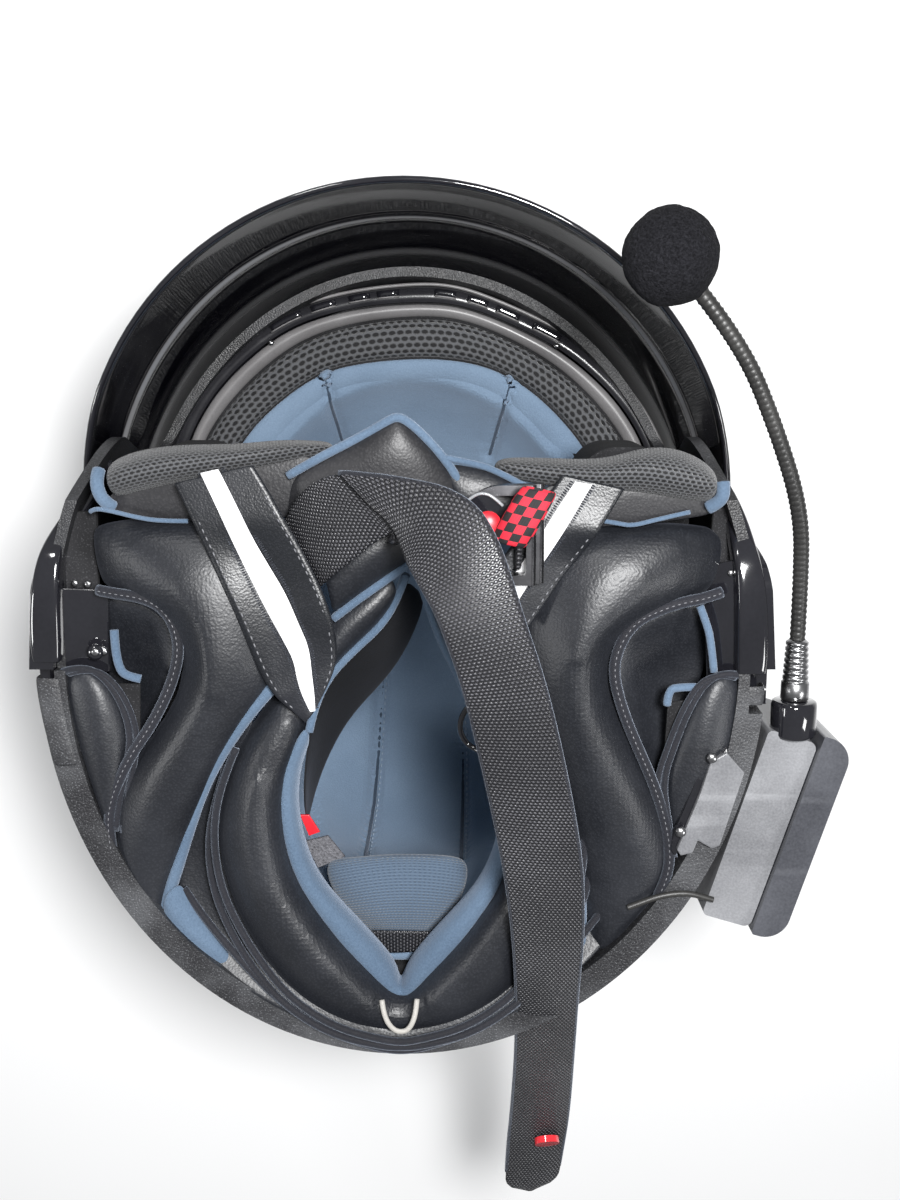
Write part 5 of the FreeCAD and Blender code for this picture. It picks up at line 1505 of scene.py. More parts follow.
@dataclass
class ChinFlap:
    """The leatherette flap over the strap's root, the laps under it, and their soft edges."""

    palette: Palette

    def build(self) -> list[bpy.types.Object]:
        """Flap and laps."""
        sheets = {
            "chin_flap_cover": (table("""
                -5,89.5,247 -2.9,91,249 -0.8,91.7,250 1.2,91,249 2.8,89.2,247
                -11.5,86.1,246 -5.9,87.7,250 -0.7,88.2,252 4.2,87,250 8.8,84.1,246
                -19.8,82,245 -9.9,83.4,251 -1.4,83.9,253 6.9,82.1,251 14.3,78,246
                -29.1,77.2,245 -15,78.4,251 -3.1,78.2,253 8.6,76.4,251 19.1,71.1,245
                -37.9,72.3,244 -21.9,72.6,250 -4.9,71.1,252 10.2,69.2,250 22.9,64.1,244
                -40.3,63.3,243 -23.9,62.3,249 -6.8,60.8,251 10.2,59.9,249 23.9,56.3,243
                -40.8,49.2,242 -26,48.2,247 -8.7,46.8,249 6.7,45.7,247 18.7,43.9,242"""),
                "flap_leatherette", 3.0),
            "lap_upper": (table("""
                -28.9,42.5,244 -26.5,34.4,248 -24.3,27.1,247 -24.1,21.7,243
                -22.3,48,246 -19.7,40,250 -17.9,32.6,248 -17,27.4,243
                -13.2,53.4,247 -11.4,46,251 -9.9,38.6,248 -8.9,33.1,243
                -3.6,58.4,246 -2.5,51.1,250 -1.6,43.7,247 -1.2,38.2,242
                6.7,61.7,244 6.7,55.1,247 6.3,47.9,245 5.8,43,241"""), "leatherette", 2.6),
            "lap_lower": (table("""
                -33.7,9,238 -31.9,1,243 -31.7,-6.3,243 -34.3,-15.6,240
                -28.3,20.3,240 -25.9,12.2,244 -25.4,6.5,243 -26.7,-0.6,238
                -20,26.5,240 -18.1,20.4,244 -17.2,14.8,243 -17.7,8.7,237
                -11.9,31.1,240 -9.6,26.3,243 -8,21.6,241 -7.3,18,236
                -3.4,36.3,239 -2,33.3,240 -1,30.9,239 -0.5,28.7,235"""), "leatherette",
                          2.6),
            "lap_left": (table("""
                13.6,77.1,244 16.3,70.6,247 19.7,62,247 23.9,47.7,244
                23.2,75.8,244 26.6,68.9,247 30.7,60.3,247 34.3,47.7,244
                32.8,73.4,244 36.1,67.2,247 39.3,58.6,247 41.3,47.7,244
                43.9,67.4,243 45.1,62.6,246 45.9,55,246 44.7,47.7,244"""), "leatherette",
                         2.6),
            "lap_far": (table("""
                4.4,42,241 13.5,39.1,245 23.9,35.8,246 34.5,31.7,243
                7.8,29,240 15.3,26.7,245 25.7,25.1,246 38.1,23.8,243
                13.4,12.8,239 19.8,14,244 29.3,14.2,245 39.9,13.8,243
                19.9,-0.6,238 24.8,2.1,243 31.8,3.8,244 43.6,3.4,242
                27.9,-19.1,237 31.3,-15.3,241 36.6,-11.8,243 45.6,-10.5,241"""),
                        "leatherette", 2.6)}
        made = []
        for name, (rows, finish, wall) in sheets.items():
            piece = panel(name, rows, self.palette[finish], 3, wall)
            put(piece, "helmet", "leatherette", *(("chin_flap",) if name == "chin_flap_cover" else ()))
            made.append(piece)
        # A near-black sheet from the lap edge down into the opening: painted shade for the cast shadow on the
        # pad's inner wall and the liner.
        wall = table("""
            0.7,35.1,236 4.4,27.2,215 7,21.3,200
            -1.5,27.6,235 2.1,18.1,215 4.7,11.9,200
            -7.3,17.4,235 -3.6,5.5,215 -1.6,-1.9,200
            -17.9,7.9,235 -12.3,-4.9,215 -9.4,-12.7,200
            -26.9,-1.5,236 -23,-15,215 -21.3,-24.8,200
            -32.4,-12.7,237 -30.8,-27.6,215 -29.3,-38.2,200
            -35.2,-24.8,237 -35.3,-40.3,215 -35.1,-51.8,200
            -37.3,-39.1,234 -38.2,-51.5,215 -38.5,-63.4,200
            -37.4,-51.3,232 -39.1,-61.6,215 -40.6,-72.6,200""")
        put(panel("pad_inner_wall", wall, self.palette["dark_lining"], 2, 1.2), "helmet", "leatherette")
        edges = {
            "flap_edge": trace("""
                -38.6,71.7,244 -29,77.3,246 -19.6,82.1,247 -11.5,86.2,247 -5.2,90,249 -0.8,92.4,250
                3.5,90,249 9.2,84.5,247 14.6,78.3,246 19.4,71.4,245 22.9,64.4,244"""),
            "lap_edge_upper": trace("-24.1,21.3,243 -17,27,243 -8.9,32.7,243 -1.2,38.2,242 5.8,43,241"),
            "lap_edge_lower": trace("""
                -33.6,-20.5,241 -32.1,-12.6,240 -26.7,-1,238 -17.7,8.4,237 -7.3,17.7,236 -1.5,27.8,236
                1.5,36.5,238"""),
            "lap_edge_left": [(15.3, 78, 246), (23.1, 76.5, 245), (32.7, 73.8, 245), (43.8, 67.5, 244)],
            "lap_edge_far": trace("""
                0.2,39.7,240 5.1,38.4,241 7.8,29,240 13.4,12.1,239 19.9,-1,238 27.9,-19.9,237""")}
        for name, points in edges.items():
            wide = 1.15 if name in ("lap_edge_far", "lap_edge_left") else 1.55
            put(tube(name, metres(points), wide, self.palette["edge_knit"], 0.9), "helmet", "liner_fabric")
        return made


@dataclass
class FaceShield:
    """The clear shield: a sheet turned about a far axis, with a moulded rib, and tabs at its pivots."""

    palette: Palette
    half_width: float = 129.0
    centre_y: float = 47.0
    axis_y: float = -128.0
    axis_z: float = 200.0
    pivot: tuple[float, float] = (12.0, 138.0)
    tab: float = 21.2
    shares: tuple[float, ...] = (0.0, 0.03, 0.1, 0.18, 0.22, 0.26, 0.36, 0.46, 0.515, 0.532, 0.549, 0.6, 0.7,
                                 0.8, 0.9, 0.97, 1.0)

    def _limits(self, y: float) -> tuple[float, float]:
        """Crown edge and rim edge heights at a place of the plan."""
        if y < self.pivot[0]:
            rise = math.sqrt(max(1.0, self.tab ** 2 - (self.pivot[0] - y) ** 2))
            return self.pivot[1] - rise, self.pivot[1] + rise
        share = (y - self.pivot[0]) / (self.half_width + self.centre_y - self.pivot[0])
        low = self.pivot[1] - self.tab - (self.pivot[1] - self.tab - 73.0) * (1 - (1 - share) ** 2.2)
        high = min(self.pivot[1] + self.tab + (y - self.pivot[0]) * 0.335, 187.5 + (y - 96.0) * 0.142)
        return low, high

    def build(self) -> None:
        """Make the sheet and its thicker rim."""
        plan = []
        steps, arc_steps, tail = 12, 60, 9.2
        for step in range(steps):
            plan.append((-self.half_width, -tail + (self.centre_y + tail) * step / steps))
        for step in range(arc_steps + 1):
            turn = math.pi * (1 - step / arc_steps)
            plan.append((self.half_width * math.cos(turn), self.centre_y + self.half_width * math.sin(turn)))
        for step in range(steps - 1, -1, -1):
            plan.append((self.half_width, -tail + (self.centre_y + tail) * step / steps))
        ridges = ((1.3, 0.532, 0.009), (0.9, 0.22, 0.05))
        rim_drop, ends = 1.1, 13
        ribs, rim = [], []
        for x, y in plan:
            low, high = self._limits(y)
            far = y - self.axis_y
            fade = min(1.0, max(0.0, (y - 30.0) / 40.0))
            rib = []
            for share in self.shares:
                ridge = sum(high_by * fade * math.exp(-((share - place) / width) ** 2)
                            for high_by, place, width in ridges)
                z = low + (high - low) * share
                reach = math.sqrt(max(1.0, far ** 2 - (z - self.axis_z) ** 2))
                inward = Vector((x, y - self.centre_y if y > self.centre_y else 0.0,
                                 0.0)).normalized() * ridge
                rib.append(Vector((x, self.axis_y + reach, z)) * MM - inward * MM)
            ribs.append(rib)
            rim.append(rib[-1] - Vector((x, max(y - self.centre_y, 0.0), 0.0)).normalized() * rim_drop * MM)
        sheet = smoothed(Loft("face_shield_sheet", ribs).done(self.palette["clear_shield"]), 1, 2.2, -1.0, 0.4)
        centre = Vector((0.0, self.centre_y, 150.0)) * MM
        sides = [(vertex.co - centre).length for vertex in sheet.data.vertices]
        log.info("shield reaches %.1f to %.1f mm", min(sides) * 1000, max(sides) * 1000)
        put(sheet, "face_shield", "clear_shield", "face_shield")
        put(tube("face_shield_rim", rim[ends:-ends], 1.25, self.palette["gloss_black"], smooth=False),
            "face_shield", "clear_shield")


@dataclass
class Liner:
    """Crown liner with sewn panels, mesh band and satin trim at the brow, and the nape pad."""

    palette: Palette
    crown: bpy.types.Object | None = None

    def build(self) -> None:
        """Every liner piece."""
        self._crown()
        self._nape()
        self._brow()

    def _crown(self) -> None:
        """Panels of the crown liner with their seams and stitch lines."""
        mesh = bmesh.new()
        mesh.from_mesh(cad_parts["crown_liner"].data)
        bmesh.ops.remove_doubles(mesh, verts=mesh.verts, dist=2e-5)
        crown = finished("crown_liner_cover", mesh, self.palette["liner_knit"])
        remesh = crown.modifiers.new("Even", "REMESH")
        remesh.mode = "VOXEL"
        remesh.voxel_size = 2.0 * MM
        applied(crown)
        relaxed(crown, 5)
        put(crown, "helmet", "liner_fabric", "crown_liner")
        self.crown = crown
        ground = Ground([crown])
        seams = {
            "rear_right": ((-13.6, -3.4, 60), (-16.4, -44.1, 60), (-18.3, -82.9, 80), (-18.9, -96, 105),
                           (-20.2, -105.2, 160)),
            "rear_left": ((20, -3.4, 60), (22, -44.1, 60), (23.4, -82.9, 80), (23.1, -96, 105),
                          (21.8, -105.2, 160)),
            "side_right": ((-54.5, -27.7, 60), (-54.8, -67.5, 65), (-49.1, -90, 105), (-39.3, -101.9, 150)),
            "side_left": ((45.8, -27.7, 60), (45.9, -67.5, 65), (42.9, -90, 105), (38.1, -101.9, 150))}
        for name, corners in seams.items():
            seam = ground.seen(stepped(corners))
            grooved(crown, seam, 3.4, 2.8)
            grooved(crown, seam, 1.3, 1.8)
            if "rear" in name:
                sunk = [point + Vector((0.0, 0.3, 0.95)) * -3.2 * MM for point in seam]
                put(tube("liner_seam_" + name, sunk, 0.9, self.palette["seam_knit"]), "helmet", "liner_fabric")
                line = [point + Vector((1.9, 0.0, 0.0)) * MM for point in seam]
                put(stitches("liner_stitches_" + name, line, self.palette["pale_thread"], 3.2, 2.3, 0.42,
                             up=Vector((0.0, 0.35, 0.94)), lift=-1.2), "helmet", "liner_fabric")

    def _nape(self) -> None:
        """Ribbed nape pad and the elastic behind it."""
        ribs = table("""
            -32.7,-81.1,214 -32.2,-87.7,216 -28.9,-96,216 -22.2,-106.1,214 -13.9,-116.4,210
            -27.7,-78.3,217 -25.3,-85.2,220 -21.5,-93.8,221 -15.6,-103.7,219 -8.9,-114.9,214
            -17.6,-76.6,218 -15.1,-83.9,222 -12.1,-92.9,223 -8.4,-102.4,222 -4.5,-113.9,217
            -4.1,-75.4,218 -3.3,-83.5,222 -2.5,-92.9,223 -1.9,-102.4,222 -1.4,-113.9,217
            9.3,-75.8,218 9.3,-83.9,222 8.6,-92.9,223 7,-102.4,222 4.5,-113.9,217
            19.3,-77,217 18.9,-85.2,220 17,-93.8,221 13.1,-103.7,219 8.4,-114.9,214
            25.5,-80.3,214 25.5,-87.7,216 23.2,-96,216 17.8,-106.1,214 12.2,-116.4,210""")
        pad = panel("nape_pad_cover", ribs, self.palette["terry"], 3, 7.0)
        put(pad, "helmet", "liner_fabric_rear", "nape_pad")
        strap = table("""
            -17.4,-104.2,226 -16.8,-112.5,225
            -7.8,-103.3,227 -7.6,-112.8,226
            -0.2,-103.3,227 -0.3,-112.8,226
            9.3,-104.2,226 8.5,-112.5,225""")
        put(ribbon("nape_elastic", strap, 1.4, self.palette["webbing"], 4), "helmet", "webbing")

    def _brow(self) -> None:
        """Gutter with slots, satin ledge with its clips, and the mesh band inside it."""
        gutter = table("""
            -114.9,56.7,99 -109.7,56,102 -104.5,55,101
            -111.6,71.1,99 -106.7,70.5,103 -102,69.1,102
            -105.6,83.7,99 -101.3,82.6,103 -97.5,80.3,102
            -93.7,100.6,99 -90.4,98.5,103 -87.6,95.8,102
            -79.4,114.7,99 -76.6,112.1,103 -74.2,109,102
            -64.4,126,99 -62.1,123.4,103 -60.1,119.9,102
            -48.2,134.3,99 -46.5,131.1,103 -44.9,127.3,102
            -22.8,140.3,99 -22.2,137.2,103 -21.4,132.9,102
            5.5,142.9,99 5.6,139.3,103 5.5,134.6,102
            21.4,141.2,99 21,137.6,103 20.1,133.3,102
            36.5,136,99 35.5,132.9,103 34.2,129,102
            54.8,128.2,99 52.8,125.1,103 50.7,121.7,102
            72.3,119.1,99 70.2,116.4,103 67.6,113,102
            86.3,107.7,99 83.7,105.1,103 81.2,102,102
            98.3,95.7,99 95.1,93.7,103 92.2,91,102
            108.1,81.9,99 104.4,80.4,103 101,78.1,102
            113.9,69.3,99 110.2,68.3,103 106.3,66.4,102
            118,55.7,99 113.9,55.1,102 110,54.1,101""")
        ledge_in = trace("""
            -99.2,56.7,100 -96.2,65.8,100 -91.2,77.5,100 -81.3,90.9,100 -68.9,103.3,100 -55.2,113.8,100
            -40.8,121.2,100 -18.5,126.5,100 5.5,128.2,100 20.5,126.9,100 33.9,122.6,100 49.1,115.6,100
            63.9,106.8,100 76.6,96.2,100 87.2,84.7,100 95.6,72.6,100 101.3,61.3,100 105.2,52.2,100""")
        ledge_mid = [tuple((Vector(row[-1]) * 0.5 + Vector(inner) * 0.5 + Vector((0.0, 0.0, 2.6))))
                     for row, inner in zip(gutter, ledge_in)]
        ledge = [[row[-1], middle, inner] for row, middle, inner in zip(gutter, ledge_mid, ledge_in)]
        put(panel("brow_gutter", gutter, self.palette["brow_gutter"], 3, 1.8), "helmet", "trim_plastic",
            "brow_trim")
        put(panel("brow_ledge", ledge, self.palette["brow_satin"], 3, 2.0), "helmet", "trim_plastic")
        inner = trace("""
            -85.2,52,98 -82.1,63.8,98 -76.8,73.8,98 -67,85,98 -55,94.8,98 -46.8,100.1,98 -37.7,105.5,98
            -16.6,109.4,98 5.4,110.7,98 22.4,109.4,98 34.9,106.3,98 46.6,101,98 57.5,93,98 67.6,83.2,98
            75.9,73.3,98 81.1,64.7,98 84,57.5,98 85.5,51.1,98""")
        band = []
        for outer, inner_point in zip(ledge_in, inner):
            first = Vector(outer) + Vector((0.0, 0.0, 1.6))
            last = Vector(inner_point) + Vector((0.0, 0.0, 4.2))
            band.append([first * MM, (first.lerp(last, 0.3) + Vector((0.0, 0.0, 2.4))) * MM,
                         (first.lerp(last, 0.7) + Vector((0.0, 0.0, 2.2))) * MM, last * MM,
                         (last + Vector((0.0, 0.0, -9.0))) * MM])
        mesh_band = smoothed(Loft("brow_band", band).done(self.palette["brow_mesh"]), 3, 2.0)
        put(mesh_band, "helmet", "mesh", "brow_mesh_band")
        ribs = []
        for point in inner:
            first = Vector(point) + Vector((0.0, 0.0, 3.4))
            inside = first.lerp(Vector((0.0, 58.0, first.z)), 0.24)
            ribs.append([spot * MM for spot in (
                first, first.lerp(inside, 0.25) + Vector((0.0, 0.0, 1.2)),
                first.lerp(inside, 0.7) - Vector((0.0, 0.0, 1.0)),
                inside - Vector((0.0, 0.0, 6.0)), inside - Vector((0.0, 0.0, 18.0)))])
        lip = smoothed(Loft("liner_lip", ribs).done(self.palette["liner_knit"]), 3, 2.0)
        both = Ground([lip, self.crown])
        folds = {"right": ((-39.7, 105.9, 101), (-38.7, 91, 80), (-35.5, 79.2, 76), (-31.7, 65.1, 74)),
                 "left": ((45.1, 103.3, 101), (42.1, 88.7, 80), (38.6, 76.9, 76), (35, 63.6, 74))}
        for name, corners in folds.items():
            steps = stepped(corners)
            line = both.seen(steps)
            for piece in (lip, self.crown):
                grooved(piece, line, 3.0, 2.0)
            # A dark tube down in each fold stands in for the shade there: painted shade.
            put(tube("liner_fold_" + name, both.seen(steps, -1.5), 0.75, self.palette["seam_knit"]), "helmet",
                "liner_fabric")
        put(lip, "helmet", "liner_fabric")
        bead = [row[0] for row in gutter]
        put(tube("brow_bead", metres(bead[1:-1]), 0.8, self.palette["brow_satin"]), "helmet", "trim_plastic")
        self._slots([row[1] for row in gutter])
        for number, spot in enumerate(((-62.2, 116.9, 104), (64.3, 115.6, 104))):
            mesh = bmesh.new()
            shape = Matrix.Diagonal((1.5 * MM, 1.1 * MM, 0.8 * MM, 1.0))
            bmesh.ops.create_uvsphere(mesh, u_segments=16, v_segments=8, radius=1.0,
                                      matrix=Matrix.Translation(Vector(spot) * MM) @ shape)
            put(finished("brow_clip_%d" % number, mesh, self.palette["steel"]), "helmet", "trim_plastic")

    def _slots(self, points: Sequence[Point]) -> None:
        """Dark gloss bars lying on the gutter at its slots, as painted shade for the slot openings, each with a
        satin lip.
        """
        line = fine_line(metres(points))
        run = [0.0]
        for start, end in zip(line, line[1:]):
            run.append(run[-1] + (end - start).length)
        shares = ((0.28, 0.335), (0.345, 0.39), (0.40, 0.438), (0.445, 0.482), (0.53, 0.567), (0.574, 0.612),
                  (0.622, 0.667), (0.677, 0.732))
        for number, (first, last) in enumerate(shares):
            piece = [point for point, length in zip(line, run) if first <= length / run[-1] <= last]
            if len(piece) < 3:
                continue
            up = Vector((0.0, 0.0, 0.5 * MM))
            # Each dark bar stands in for the shade inside a slot: painted shade.
            put(tube("brow_slot_%d" % number, [point + up for point in piece], 1.5, self.palette["gloss_black"],
                     0.4, smooth=False), "helmet", "trim_plastic")
            lip = [point + up + Vector((0.0, -1.5 * MM, 0.2 * MM)) for point in piece]
            put(tube("brow_slot_lip_%d" % number, lip, 0.35, self.palette["brow_satin"], smooth=False),
                "helmet", "trim_plastic")


@dataclass
class Straps:
    """Chin strap, its short end with rings and pull tab, reflective bands and small cords."""

    palette: Palette
    ground: Ground

    def build(self) -> None:
        """Every strap."""
        self._bands()
        self._webbing()
        self._tab()
        self._small()

    def _bands(self) -> None:
        """Leatherette bands over the cheek pads, each with a bright strip and rows of stitches."""
        bands = {
            Side.LEFT: table("""
                76.4,67.8,247 55.2,72.5,246
                71.9,59.9,249 50.5,65.4,247
                67.2,52.1,250 45.4,58.7,248
                61.9,44.1,250 39.3,50.1,248
                55.8,36.5,250 32.9,40.9,247
                50.2,27.5,249 27.4,31.5,246
                44.1,18.5,248 21.2,20.7,245"""),
            Side.RIGHT: table("""
                -76.7,69.8,246 -49.8,75.9,246
                -71.7,58.8,249 -44.9,68.1,249
                -66.8,46.9,250 -39.9,58.6,250
                -61.9,35.6,251 -34.3,48.3,250
                -57.1,24.4,251 -29,37.5,250
                -53.1,12.8,250 -25.1,28.1,250
                -49.4,2.2,249 -22.6,17.2,249
                -45.5,-4.2,248 -22.6,6,247
                -40.8,-9.2,247 -26.7,-3.6,246
                -34.1,-15.6,245 -30.6,-10.8,244""")}
        strips = {
            Side.LEFT: table("""
                65.3,69.3,248 59.5,70.3,248
                61.2,62.4,250 55.4,64.1,250
                56.9,54.8,250 51.1,57.2,250
                51.6,46.2,250 46.1,48.8,249
                45.9,37.5,250 40.4,40.3,248
                40.5,28.9,249 35,32.1,247
                34.4,18.9,247 28.9,22.7,246"""),
            Side.RIGHT: table("""
                -67.5,73.3,247 -61.3,74.7,247
                -61.9,60.7,250 -55.7,63.1,250
                -56.4,47.4,251 -50.2,50.5,251
                -51.6,36.3,251 -45,40.8,251
                -46.9,26,252 -39.6,31.3,252
                -41.5,15.6,251 -35.2,20.2,251
                -37.6,7.9,250 -32,12.5,250
                -36.6,0.5,248 -31.3,2,248
                -34.9,-5.8,246 -30.6,-5.5,246
                -32.3,-11.2,245 -30.5,-10.9,245""")}
        for side, pairs in bands.items():
            name = side.name.lower()
            band = ribbon("band_" + name, pairs, 1.6, self.palette["band_leatherette"], 8, 0.0, 0.0,
                          self.ground, 0.9)
            put(band, "helmet", "leatherette", "reflective_band_" + name)
            top = Ground([band])
            strip = ribbon("strip_" + name, strips[side], 0.6, self.palette["reflective"], 3, 0.0, 0.0, top, 0.15)
            put(strip, "helmet", "reflective", "reflective_strip_" + name)
            for edge in (0, 1):
                line = top.laid(beside(pairs, edge, 0.07))
                put(stitches("band_stitches_%s_%d" % (name, edge), line, self.palette["thread"], 2.9, 2.0, 0.3,
                             lift=0.1), "helmet", "leatherette")
            for edge in (0, 1):
                line = top.laid(beside(strips[side], edge, -0.14))
                put(stitches("strip_stitches_%s_%d" % (name, edge), line, self.palette["binding"], 0.9, 1.7, 0.3,
                             lift=0.05, across=True), "helmet", "leatherette")

    def _webbing(self) -> None:
        """The long strap: its root, the hump over the flap, the turn, and the run to its end."""
        root = table("""
            -39.8,56.3,243 -30,30.8,242
            -36,63.1,250 -24.8,36.7,251
            -30.9,69,258 -16.6,44.2,259
            -25,73.3,264 -6.8,52.6,265
            -17.1,75,268 0,57.1,269
            -8.3,72.7,268 1.9,51.5,269""")
        put(ribbon("chin_strap_root", root, 2.2, self.palette["webbing"], 8, 0.6), "helmet", "webbing",
            "chin_strap")
        pairs = table("""
            -19.2,75.5,270 -1.8,60.5,272
            -8,75.1,273 0.9,55.2,274
            4.9,73.6,277 2.5,50.4,277
            16.4,71.4,280 3.6,47.5,281
            25.8,66.1,284 5.6,44.3,285
            31.7,56.4,287 8.8,39.1,288
            36.1,44.1,289 12.3,33.4,290
            40.9,28.9,290 16.4,23,291
            46.6,12.4,289 21.1,9.1,290
            52.2,-9,286 25.1,-8.3,287
            57.7,-33.9,281 30.2,-31.8,282
            62.3,-59,273 35,-56.8,274
            64.3,-86.8,262 38.8,-84.8,263
            64.3,-118.1,246 41.3,-116,247
            65.3,-153,226 42.7,-152,227
            66.7,-197.5,198 42.4,-198.2,199
            65.8,-218.9,188 41.4,-220.2,189
            64.6,-232.2,184 41.2,-234.8,185
            63.3,-243.9,181 40.6,-246.6,182""")
        strap = ribbon("chin_strap_webbing", pairs, 2.2, self.palette["webbing"], 8, 0.9, 9.0)
        put(strap, "helmet", "webbing")
        for edge in (0, 1):
            line = metres(beside(pairs[:-1], edge, 0.02))
            put(tube("strap_selvedge_%d" % edge, line, 1.0, self.palette["binding"], 1.2), "helmet", "webbing")
        short = table("""
            60,40.5,243.2 66,62.5,243.2
            53,40.5,243.4 58,63.5,243.4
            46,40.5,244.2 50,64.5,244.2
            41,40.5,247.0 43,65.5,247.0
            39.4,40.5,251 40.4,65.5,251
            40.4,40.5,255 41.4,65.5,255""")
        put(ribbon("strap_short_webbing", short, 2.0, self.palette["webbing"], 8, 0.0), "helmet", "webbing",
            "strap_short")

    def _tab(self) -> None:
        """Checkered pull tab: a short flattened tube of tape on the upper ring."""
        spots = (((46.3, 69.8, 268), 12.0), ((43.3, 65, 269), 12.8), ((40.8, 60.5, 269.5), 13.0),
                 ((38.2, 55.8, 269), 12.8), ((35.7, 51.2, 267), 12.2))
        side, high = Vector((0.95, -0.22, 0.10)).normalized(), Vector((0.0, 0.0, 1.0))
        sides, flatness = 16, 0.30
        ribs = []
        for spot, across in spots:
            centre = Vector(spot)
            turns = [2 * math.pi * step / sides for step in range(sides)]
            ribs.append([(centre + side * math.cos(turn) * across / 2
                          + high * math.sin(turn) * across * flatness) * MM for turn in turns])
        tab = Loft("pull_tab_tape", ribs, closed=True).done(self.palette["checker_tape"])
        put(smoothed(tab, 2, 1.3), "d_rings", "checker", "pull_tab")

    def _small(self) -> None:
        """Cord loop by the strap."""
        loop = trace("""
            26.4,-1.7,270 23.7,-3,268 21.1,-7,266 20.1,-12.2,264 21.8,-17.1,263 25.2,-19.6,264 27.9,-20.1,266""")
        put(tube("cord_loop", metres(loop), 1.0, self.palette["gloss_black"]), "helmet", "webbing")
        put(ball("red_stub", (29.5, 57.4, 266), (4.6, 5.0, 2.0), self.palette["red_plastic"]), "d_rings",
            "snap_red")
        arc = trace("21.9,65.1,267 24.8,67.8,268 28.1,68.5,268 31.3,67.1,268 34.3,64.2,268")
        put(tube("clear_ring", metres(arc), 0.5, self.palette["clear_plastic"]), "d_rings", "ring_steel")
        put(plate("clear_pane", trace("""
            22.2,64.9,266 25.5,67.2,266 28.4,67.9,266 31.4,66.6,266 34,63.6,266 32.1,60.7,266 25.5,61.3,266"""),
                  0.6, self.palette["gloss_black"], 0.15), "d_rings", "ring_steel")
        put(plate("size_patch", [(-39.5, -72.9, 214), (-30.2, -70.5, 214), (-23.7, -79.1, 214),
                                 (-34.3, -83.6, 214)], 1.5,
                  self.palette["grey_patch"], 0.3), "helmet", "liner_fabric_rear")
        put(plate("size_patch_end", [(-40.6, -61.2, 216), (-37.1, -61.2, 216), (-33, -68.1, 216),
                                     (-37.3, -69.7, 216)], 1.2,
                  self.palette["red_plastic"], 0.3), "helmet", "liner_fabric_rear")


@dataclass
class Intercom:
    """Gooseneck, windscreen, collar and the finishes of the clip-on unit."""

    palette: Palette

    def build(self) -> None:
        """Every intercom piece."""
        self._boom()
        self._screen()
        self._collar()
        self._clamp()

    def _boom(self) -> None:
        """The ribbed gooseneck."""
        route = trace("""
            141.4,12.3,235.7 141.4,33.0,236.4 138.0,60.0,245.0 126.0,90.0,250.0 113.0,116.0,254.0
            98.2,133.0,255.5""")
        line = fine_line(metres(route))
        even = [line[0]]
        rib_pitch = 0.0007
        due = rib_pitch
        run = 0.0
        for start, end in zip(line, line[1:]):
            length = (end - start).length
            while run + length >= due:
                even.append(start.lerp(end, (due - run) / length))
                due += rib_pitch
            run += length
        neck = tube("gooseneck_sleeve", even, 2.75, self.palette["cable_rubber"], 1.0, 10, smooth=False,
                    twist=lambda ring, _: 1.0 + 0.07 * math.cos(ring * math.pi * 2 / 3))
        put(neck, "boom", "cable_rubber", "gooseneck")

    def _collar(self) -> None:
        """Gloss collar and ringed ferrule, turned about the boom's own axis."""
        axis = (141.4, 235.7)
        turned = [(-24.0, 6.4), (-23.2, 7.6), (-22.0, 8.2), (-11.6, 8.2), (-10.4, 7.8), (-10.0, 7.0)]
        put(lathe("boom_collar_form", turned, axis, self.palette["gloss_black"]), "helmet", "gloss_black",
            "boom_collar")
        profile = [(-9.8, 4.6), (-9.4, 5.0), (-3.4, 5.0), (-3.0, 4.6)]
        for ring in range(7):
            start = -2.4 + ring * 2.1
            groove, crest = 4.1 - ring * 0.09, 4.6 - ring * 0.1
            profile += [(start, groove), (start + 0.3, crest), (start + 1.3, crest), (start + 1.6, groove)]
        profile.append((12.4, 3.0))
        put(lathe("boom_ferrule_form", profile, axis, self.palette["steel"]), "boom", "ferrule_steel",
            "boom_ferrule")

    def _clamp(self) -> None:
        """Narrow clamp jaw with its hinge leaf and screws."""
        jaw = trace("""
            116.1,-27.4,244 122.8,-34.9,244 115,-62.6,244 112.1,-63.8,244 106.9,-60.7,244 105.3,-65.3,244
            100.9,-66.5,244 99.4,-64.2,244 107,-43.2,244 110.5,-30.8,244""")
        put(plate("clamp_jaw", jaw, 3.2, self.palette["unit_matte"], 0.6), "helmet", "unit_matte",
            "clamp_plate")
        leaf = trace("""
            112.8,-24,242 116.4,-25.5,242 116.9,-29.2,242 111.3,-32.2,242 107.4,-45.1,242 101.6,-63.4,242
            99.1,-67.3,242 97.6,-65,242 98.5,-58,242 105.1,-40.5,242 109.6,-26.2,242""")
        put(plate("clamp_leaf", leaf, 3.0, self.palette["gloss_black"], 0.6), "helmet", "unit_satin")
        for number, spot in enumerate(((110.6, -29, 245), (100.4, -56.9, 245))):
            put(ball("clamp_screw_%d" % number, spot, (2.0, 2.0, 1.2), self.palette["steel"]), "helmet",
                "screw_steel", *(("clamp_screws",) if number == 0 else ()))

    def _screen(self) -> None:
        """Foam ball with a soft uneven skin."""
        low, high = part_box("windscreen")
        centre = (low + high) / 2
        mesh = bmesh.new()
        bmesh.ops.create_icosphere(mesh, subdivisions=5, radius=1.0)
        half = (high - low) / 2
        lumps = ((0.035, 1.7), (0.02, 7.0), (0.012, 22.0))
        for vert in mesh.verts:
            skin = sum((depth * noise.noise(vert.co * pitch) for depth, pitch in lumps), 1.0)
            vert.co = Vector((vert.co.x * half.x, vert.co.y * half.y, vert.co.z * half.z)) * skin + centre
        ball = finished("windscreen_ball", mesh, self.palette["windscreen_foam"])
        put(ball, "boom", "open_foam", "windscreen")


